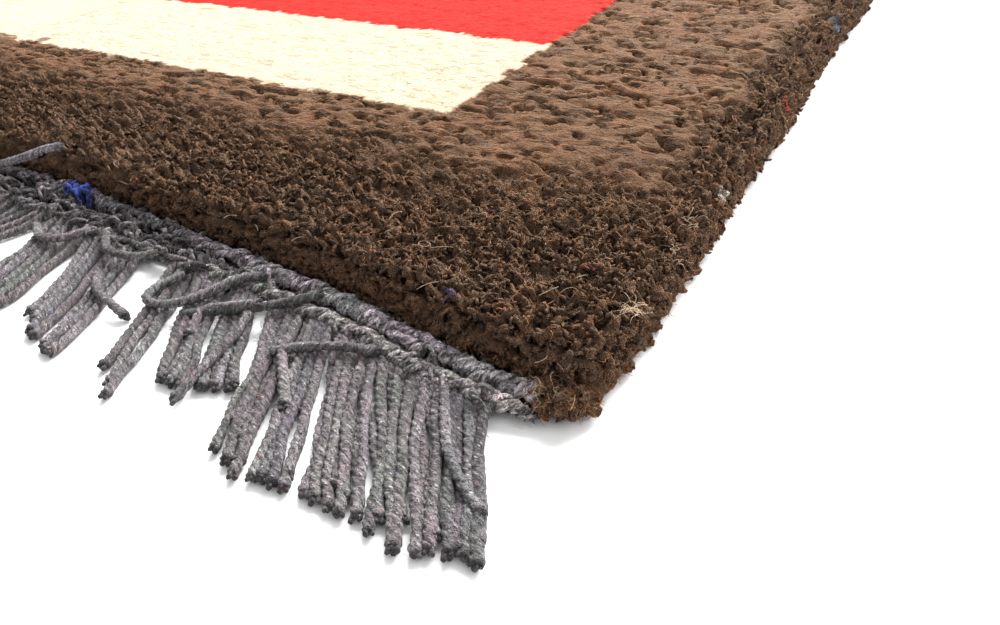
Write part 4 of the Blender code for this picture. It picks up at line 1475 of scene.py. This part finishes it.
def ground_material(name, colour):
    """The roots of the pile and the web's ground, painted dark as the shade between the yarn ends and cords.
    """
    material, tree = new_material(name)
    place = tree.nodes.new("ShaderNodeTexCoord").outputs["Object"]
    clump = noise_value(tree, place, 420.0, 4.0, 0.8)
    base = tree.nodes.new("ShaderNodeRGB")
    base.outputs[0].default_value = (*colour, 1.0)
    # Painted shade: the colour is darkened to between 0.12 and 0.35 of itself.
    shaded = scaled(tree, base.outputs[0], remap(tree, clump, 0.3, 0.7, 0.12, 0.35))
    finish_cloth(tree, shaded, bump(tree, clump, 0.9, 0.8), 0.0, 0.5)
    return material


# Odd fibres in the grey yarn: how rare, colour.
FLECKS = (
    (0.955, (0.50, 0.50, 0.50)),
    (0.978, (0.20, 0.10, 0.13)),
    (0.988, (0.06, 0.08, 0.24)),
    (0.994, (0.34, 0.07, 0.07)),
    (0.9982, (0.62, 0.26, 0.08)),
)


def yarn_material(name, shade_low, patches):
    """Grey yarn spun from mixed waste fibre: pepper and salt, with coloured flecks and dark cut tips."""
    material, tree = new_material(name)
    grain = attribute(tree, "grain", "Vector")
    fibre = noise_value(tree, grain, 2.9, 3.0, 1.4)
    mottle = noise_value(tree, grain, 0.8, 2.0, 0.6)
    cells = tree.nodes.new("ShaderNodeTexVoronoi")
    cells.inputs["Scale"].default_value = 2.0
    tree.links.new(grain, cells.inputs["Vector"])
    split = tree.nodes.new("ShaderNodeSeparateColor")
    tree.links.new(cells.outputs["Color"], split.inputs[0])
    middle = remap(tree, cells.outputs["Distance"], 0.25, 0.55, 1.0, 0.0)
    shade = remap(tree, fibre, 0.38, 0.64, 0.10, 2.2)
    shade = maths(tree, "MULTIPLY", shade, remap(tree, mottle, 0.34, 0.66, 1 - patches, 1 + patches))
    colour = scaled(tree, attribute(tree, "tone", "Color"), shade)
    for rarity, fleck in FLECKS:
        chosen = maths(tree, "MULTIPLY", maths(tree, "GREATER_THAN", split.outputs[0], rarity), middle)
        colour = mixed(tree, chosen, colour, fleck)
    cut = remap(tree, attribute(tree, "depth", "Fac"), 0.0, 1.0, shade_low, 1.0)
    colour = scaled(tree, colour, cut)
    height = maths(tree, "ADD", fibre, mottle)
    finish_cloth(tree, colour, bump(tree, height, 1.0, 0.6), 0.15, 0.5)
    return material


# Long pale fibres that curl over the pile: where each starts from the near right corner, height,
# heading in degrees, length, curl in degrees a millimetre, rise over its length.
STRAY_HAIRS = (
    (-47.0, 16.6, 15.4, 80, 7.6, 46, 0.9),
    (-46.6, 16.2, 15.6, 5, 5.2, 5, 0.6),
    (-46.8, 18.0, 15.6, 120, 3.0, -20, 0.7),
    (-33.4, 31.4, 15.6, 150, 4.0, 13, 0.7),
    (-44.5, 32.0, 15.6, 60, 4.0, -38, 0.8),
    (-41.0, 3.0, 15.0, 40, 4.6, 4, 0.8),
    (-18.0, 11.0, 15.2, 30, 4.6, 10, 0.8),
    (-14.6, 13.4, 15.2, 80, 4.2, -24, 0.8),
    (-11.7, -2.8, 5.6, -70, 5.0, 7, 0.5),
    (-10.0, -3.4, 5.2, -120, 6.0, 5, 0.4),
    (-4.0, -2.0, 6.2, -60, 4.5, -6, 0.2),
    (-7.3, -7.0, 2.0, 20, 3.6, 70, 0.5),
    (-25.0, 8.0, 15.4, 200, 4.5, 18, 0.8),
    (-62.0, 22.0, 15.5, 100, 4.0, -12, 0.8),
)

# Tangles of such fibres: place, reach, how many, shade.
TANGLES = (
    ((-0.9, 16.5, 13.6), 1.0, 26, 1.1),
    ((-2.0, 50.7, 13.6), 1.8, 14, 0.9),
    ((-1.0, 38.0, 13.2), 3.0, 14, 0.75),
    ((-10.0, -3.5, 5.0), 4.5, 60, 0.55),
)
LOOSE_HAIRS = 90
HAIR_RADIUS = 0.07


def make_stray_hairs(name, material, rng):
    heap = Heap()
    rows = [(*row, 1.0) for row in STRAY_HAIRS]
    for place, reach, count, shade in TANGLES:
        for _ in range(count):
            x, y, z = np.array(place) + rng.normal(0, 0.5, 3) * reach
            rows.append((x, y, z, rng.uniform(0, 360), rng.uniform(2, 4.5), rng.normal(0, 38), 0.6, shade))
    for _ in range(LOOSE_HAIRS):
        x, y = -rng.uniform(0, 170), rng.uniform(4, 140)
        rows.append((x, y, 15.0, rng.uniform(0, 360), rng.uniform(2, 5), rng.normal(0, 14), 0.8, 0.6))
    steps = np.linspace(0, 1, 9)
    for x, y, z, heading, length, curl, lift, shade in rows:
        turn = np.radians(heading + curl * length * steps)
        flat = np.column_stack([np.cos(turn), np.sin(turn)]) * length / 8
        flat = np.cumsum(flat, axis=0) - flat[0]
        height = z + lift * np.sin(0.8 * math.pi * steps)
        line = np.column_stack([flat + (PILE_WIDTH / 2 + x, y - PILE_LENGTH / 2), height])
        tone = np.array(PALE) * rng.uniform(0.7, 1.2) * shade
        sweep(heap, line, HAIR_RADIUS * rng.uniform(0.6, 1.0) * np.linspace(1, 0.5, 9), 3, tone)
    return heap.make(name, [material])


# Distance from the right-hand side up to which cords have such fibres.
YARN_FUZZ_REACH = 175


def yarn_fuzz(heap, lines, radius, count, rng):
    """Short fibres that stand off cords in the part that the camera sees."""
    places = np.concatenate(lines)
    places = places[places[:, 0] > PILE_WIDTH / 2 - YARN_FUZZ_REACH]
    chosen = rng.integers(0, len(places), count)
    ways = rng.normal(0, 1, (count, 3))
    ways[:, 2] = np.abs(ways[:, 2]) * 0.8
    ways = unit(ways)
    roots = places[chosen] + ways * radius * 0.8 + rng.normal(0, 0.3, (count, 3)) * (1, 1, 0)
    roots[:, 2] = np.maximum(roots[:, 2], 0.3)
    lean = unit(ways * 0.5 + rng.normal(0, 0.7, (count, 3)))
    lean[:, 2] = np.abs(lean[:, 2])
    tones = np.array(YARN) * rng.uniform(0.4, 3.0, (count, 1))
    lengths, radii = rng.uniform(0.5, 2.1, count), rng.uniform(0.04, 0.075, count)
    hairs(heap, roots, lean, rng.normal(0, 0.5, (count, 3)), lengths, radii, tones, 1)


def dress(piece, slot, *nodes):
    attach(piece, "root")
    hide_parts(*nodes)
    return piece


# Distances from the photographed corner up to which the rim's yarn ends are fine, and middling.
FINE_REACH = 112
MIDDLE_REACH = 290


def make_pile(wools, rim_wool, hair):
    rng = np.random.default_rng(41)
    pieces, (points, tones, depth, loose) = make_top(wools, rng)
    rim_pieces, *rim_parts = make_rim(rim_wool, rng)
    pieces += rim_pieces
    ends = rim_ends(rng)
    away = from_corner(ends.tips)
    for name, chosen, rings, sides, rough in (
        ("tufts_corner", away < FINE_REACH, FINE_END, FINE_SIDES, 0.7),
        ("tufts_front", (away >= FINE_REACH) & (away < MIDDLE_REACH), MIDDLE_END, MIDDLE_SIDES, 0.6),
        ("tufts_rest", away >= MIDDLE_REACH, PLAIN_END, PLAIN_SIDES, 0.35),
    ):
        heap = Heap()
        ends.build(heap, np.flatnonzero(chosen), rings, sides, rough, rng)
        pieces.append(heap.make(name, [rim_wool]))
    heap = Heap()
    away_top = from_corner(points)
    for low, high, count in ((0, 80, 1800), (80, 160, 2400), (160, 280, 2200)):
        chosen = (away_top >= low) & (away_top < high) & (depth > 0.5)
        nap(heap, points[chosen], tones[chosen], loose[chosen], count, rng)
    pieces.append(heap.make("pile_nap", [hair]))
    heap = Heap()
    for low, high, count in TOP_PLIES:
        come_apart = loose > rng.uniform(0.3, 1.0, len(loose))
        chosen = (away_top >= low) & (away_top < high) & come_apart & (depth > 0.35)
        upright = np.tile((0.0, 0.0, 1.0), (chosen.sum(), 1))
        curly_plies(heap, points[chosen], upright, tones[chosen], count, rng)
    for (places, normals, shades, sunk), count in zip(rim_parts, RIM_PLIES):
        chosen = sunk > 0.35
        curly_plies(heap, places[chosen], normals[chosen], shades[chosen], count, rng)
    pieces.append(heap.make("pile_plies", [rim_wool]))
    heap = Heap()
    fuzz(heap, ends, np.flatnonzero(away < FINE_REACH), 3, 2.4, (0.045, 0.08), rng)
    chosen = (away_top < 90) & (loose > 0.3) & (depth > 0.4)
    upright = np.tile((0.0, 0.0, 1.0), (chosen.sum(), 1))
    curls(heap, points[chosen], upright, tones[chosen], 700, rng)
    for (places, normals, shades, sunk), count in zip(rim_parts, (1000, 250, 200)):
        chosen = sunk > 0.4
        curls(heap, places[chosen], normals[chosen], shades[chosen], count, rng)
    pieces.append(heap.make("pile_fibres", [hair]))
    pieces.append(make_stray_hairs("stray_hairs", hair, rng))
    return pieces


def make_camera():
    azimuth, pitch, roll = (math.radians(turn) for turn in (VIEW_AZIMUTH, VIEW_PITCH, VIEW_ROLL))
    flat = math.cos(pitch)
    ahead = Vector((-math.sin(azimuth) * flat, math.cos(azimuth) * flat, -math.sin(pitch)))
    level = Vector((math.cos(azimuth), math.sin(azimuth), 0.0))
    above = level.cross(ahead)
    right = math.cos(roll) * level + math.sin(roll) * above
    up = math.cos(roll) * above - math.sin(roll) * level
    data = bpy.data.cameras.new("camera")
    data.sensor_width = SENSOR
    data.lens = VIEW_FOCAL_SHARE * SENSOR
    data.clip_start = 0.01
    camera = placed("camera", data)
    corner = Vector((PILE_WIDTH / 2, -PILE_LENGTH / 2, 0.0))
    place = (corner + Vector(VIEW_FROM_CORNER)) * MM
    camera.matrix_world = Matrix.Translation(place) @ Matrix((right, up, -ahead)).transposed().to_4x4()
    bpy.context.scene.camera = camera


def area_light(name, place, target, size, power):
    data = bpy.data.lights.new(name, "AREA")
    data.shape = "SQUARE"
    data.size = size
    data.energy = power
    light = placed(name, data)
    light.location = place
    light.rotation_euler = (Vector(target) - Vector(place)).to_track_quat("-Z", "Y").to_euler()


def make_studio():
    """A plain white floor under a soft sky, with a soft light from behind that grazes the pile."""
    world = bpy.data.worlds.new("studio")
    world.use_nodes = True
    world.node_tree.nodes["Background"].inputs["Color"].default_value = (1.0, 1.0, 1.0, 1.0)
    world.node_tree.nodes["Background"].inputs["Strength"].default_value = 0.70
    bpy.context.scene.world = world
    area_light("key", (-0.35, 4.45, 2.64), (0.25, -0.35, 0.0), 5.2, 1900.0)
    area_light("fill", (1.3, -0.2, 1.2), (0.2, -0.4, 0.0), 1.2, 9.0)
    material, tree = new_material("floor")
    shader = tree.nodes["Principled BSDF"]
    shader.inputs["Base Color"].default_value = (0.93, 0.93, 0.93, 1.0)
    shader.inputs["Roughness"].default_value = 0.9
    mesh = bpy.data.meshes.new("floor")
    body = bmesh.new()
    bmesh.ops.create_grid(body, x_segments=1, y_segments=1, size=12.0)
    body.to_mesh(mesh)
    body.free()
    mesh.materials.append(material)
    floor = placed("floor", mesh)
    floor.location.z = -0.0002
    bpy.context.scene.view_settings.view_transform = "Standard"


def main():
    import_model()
    make_camera()
    make_studio()
    kinds = enumerate(zip(WOOL_TINTS, WOOL_CONTRASTS))
    wools = [wool_material(f"pile_wool_{i}", WOOL_SHEEN, tint, contrast) for i, (tint, contrast) in kinds]
    rim_wool = wool_material("rim_wool", WOOL_SHEEN, WOOL_TINTS[0], RIM_CONTRAST)
    hair = hair_material("loose_wool")
    yarn, rope_yarn = yarn_material("cord_yarn", 0.28, 0.45), yarn_material("web_yarn", 1.0, 0.85)
    grounds = [ground_material(f"ground_{i}", colour) for i, colour in enumerate(ZONE_COLOURS)]
    web_ground = ground_material("web_ground", YARN)
    ground = dress(make_ground("pile_ground", grounds), "pile_wool", "pile")
    with_it = [dress(piece, "pile_wool", "pile") for piece in make_pile(wools, rim_wool, hair)]
    for side, name in ((-1, "selvedge_left"), (1, "selvedge_right")):
        rng = np.random.default_rng(60 + side)
        piece, line, tone = make_selvedge(side, name + "_wool", rim_wool, rng)
        with_it.append(dress(piece, "selvedge_wool", name))
    heap = Heap()
    selvedge_fuzz(heap, line, tone, 220, 900, rng)
    with_it.append(dress(heap.make("selvedge_fibres", [hair]), "selvedge_wool", name))
    for end, name in ((-1, "fringe_near"), (1, "fringe_far")):
        rng = np.random.default_rng(80 + end)
        cords, cord_lines = make_fringe(end, name + "_cords", yarn, rng)
        ropes, rope_lines = make_ropes(end, name + "_ropes", rope_yarn, rng)
        pieces = [cords, ropes, make_web(end, name + "_web", web_ground)]
        pieces.append(make_knots(end, name + "_knots", rope_yarn, rng))
        if end < 0:
            heap = Heap()
            yarn_fuzz(heap, cord_lines, CORD_RADIUS, 3400, rng)
            yarn_fuzz(heap, rope_lines, 1.2, 3200, rng)
            pieces.append(heap.make(name + "_fibres", [rope_yarn]))
        with_it.extend(dress(piece, "web_yarn", name) for piece in pieces)


main()
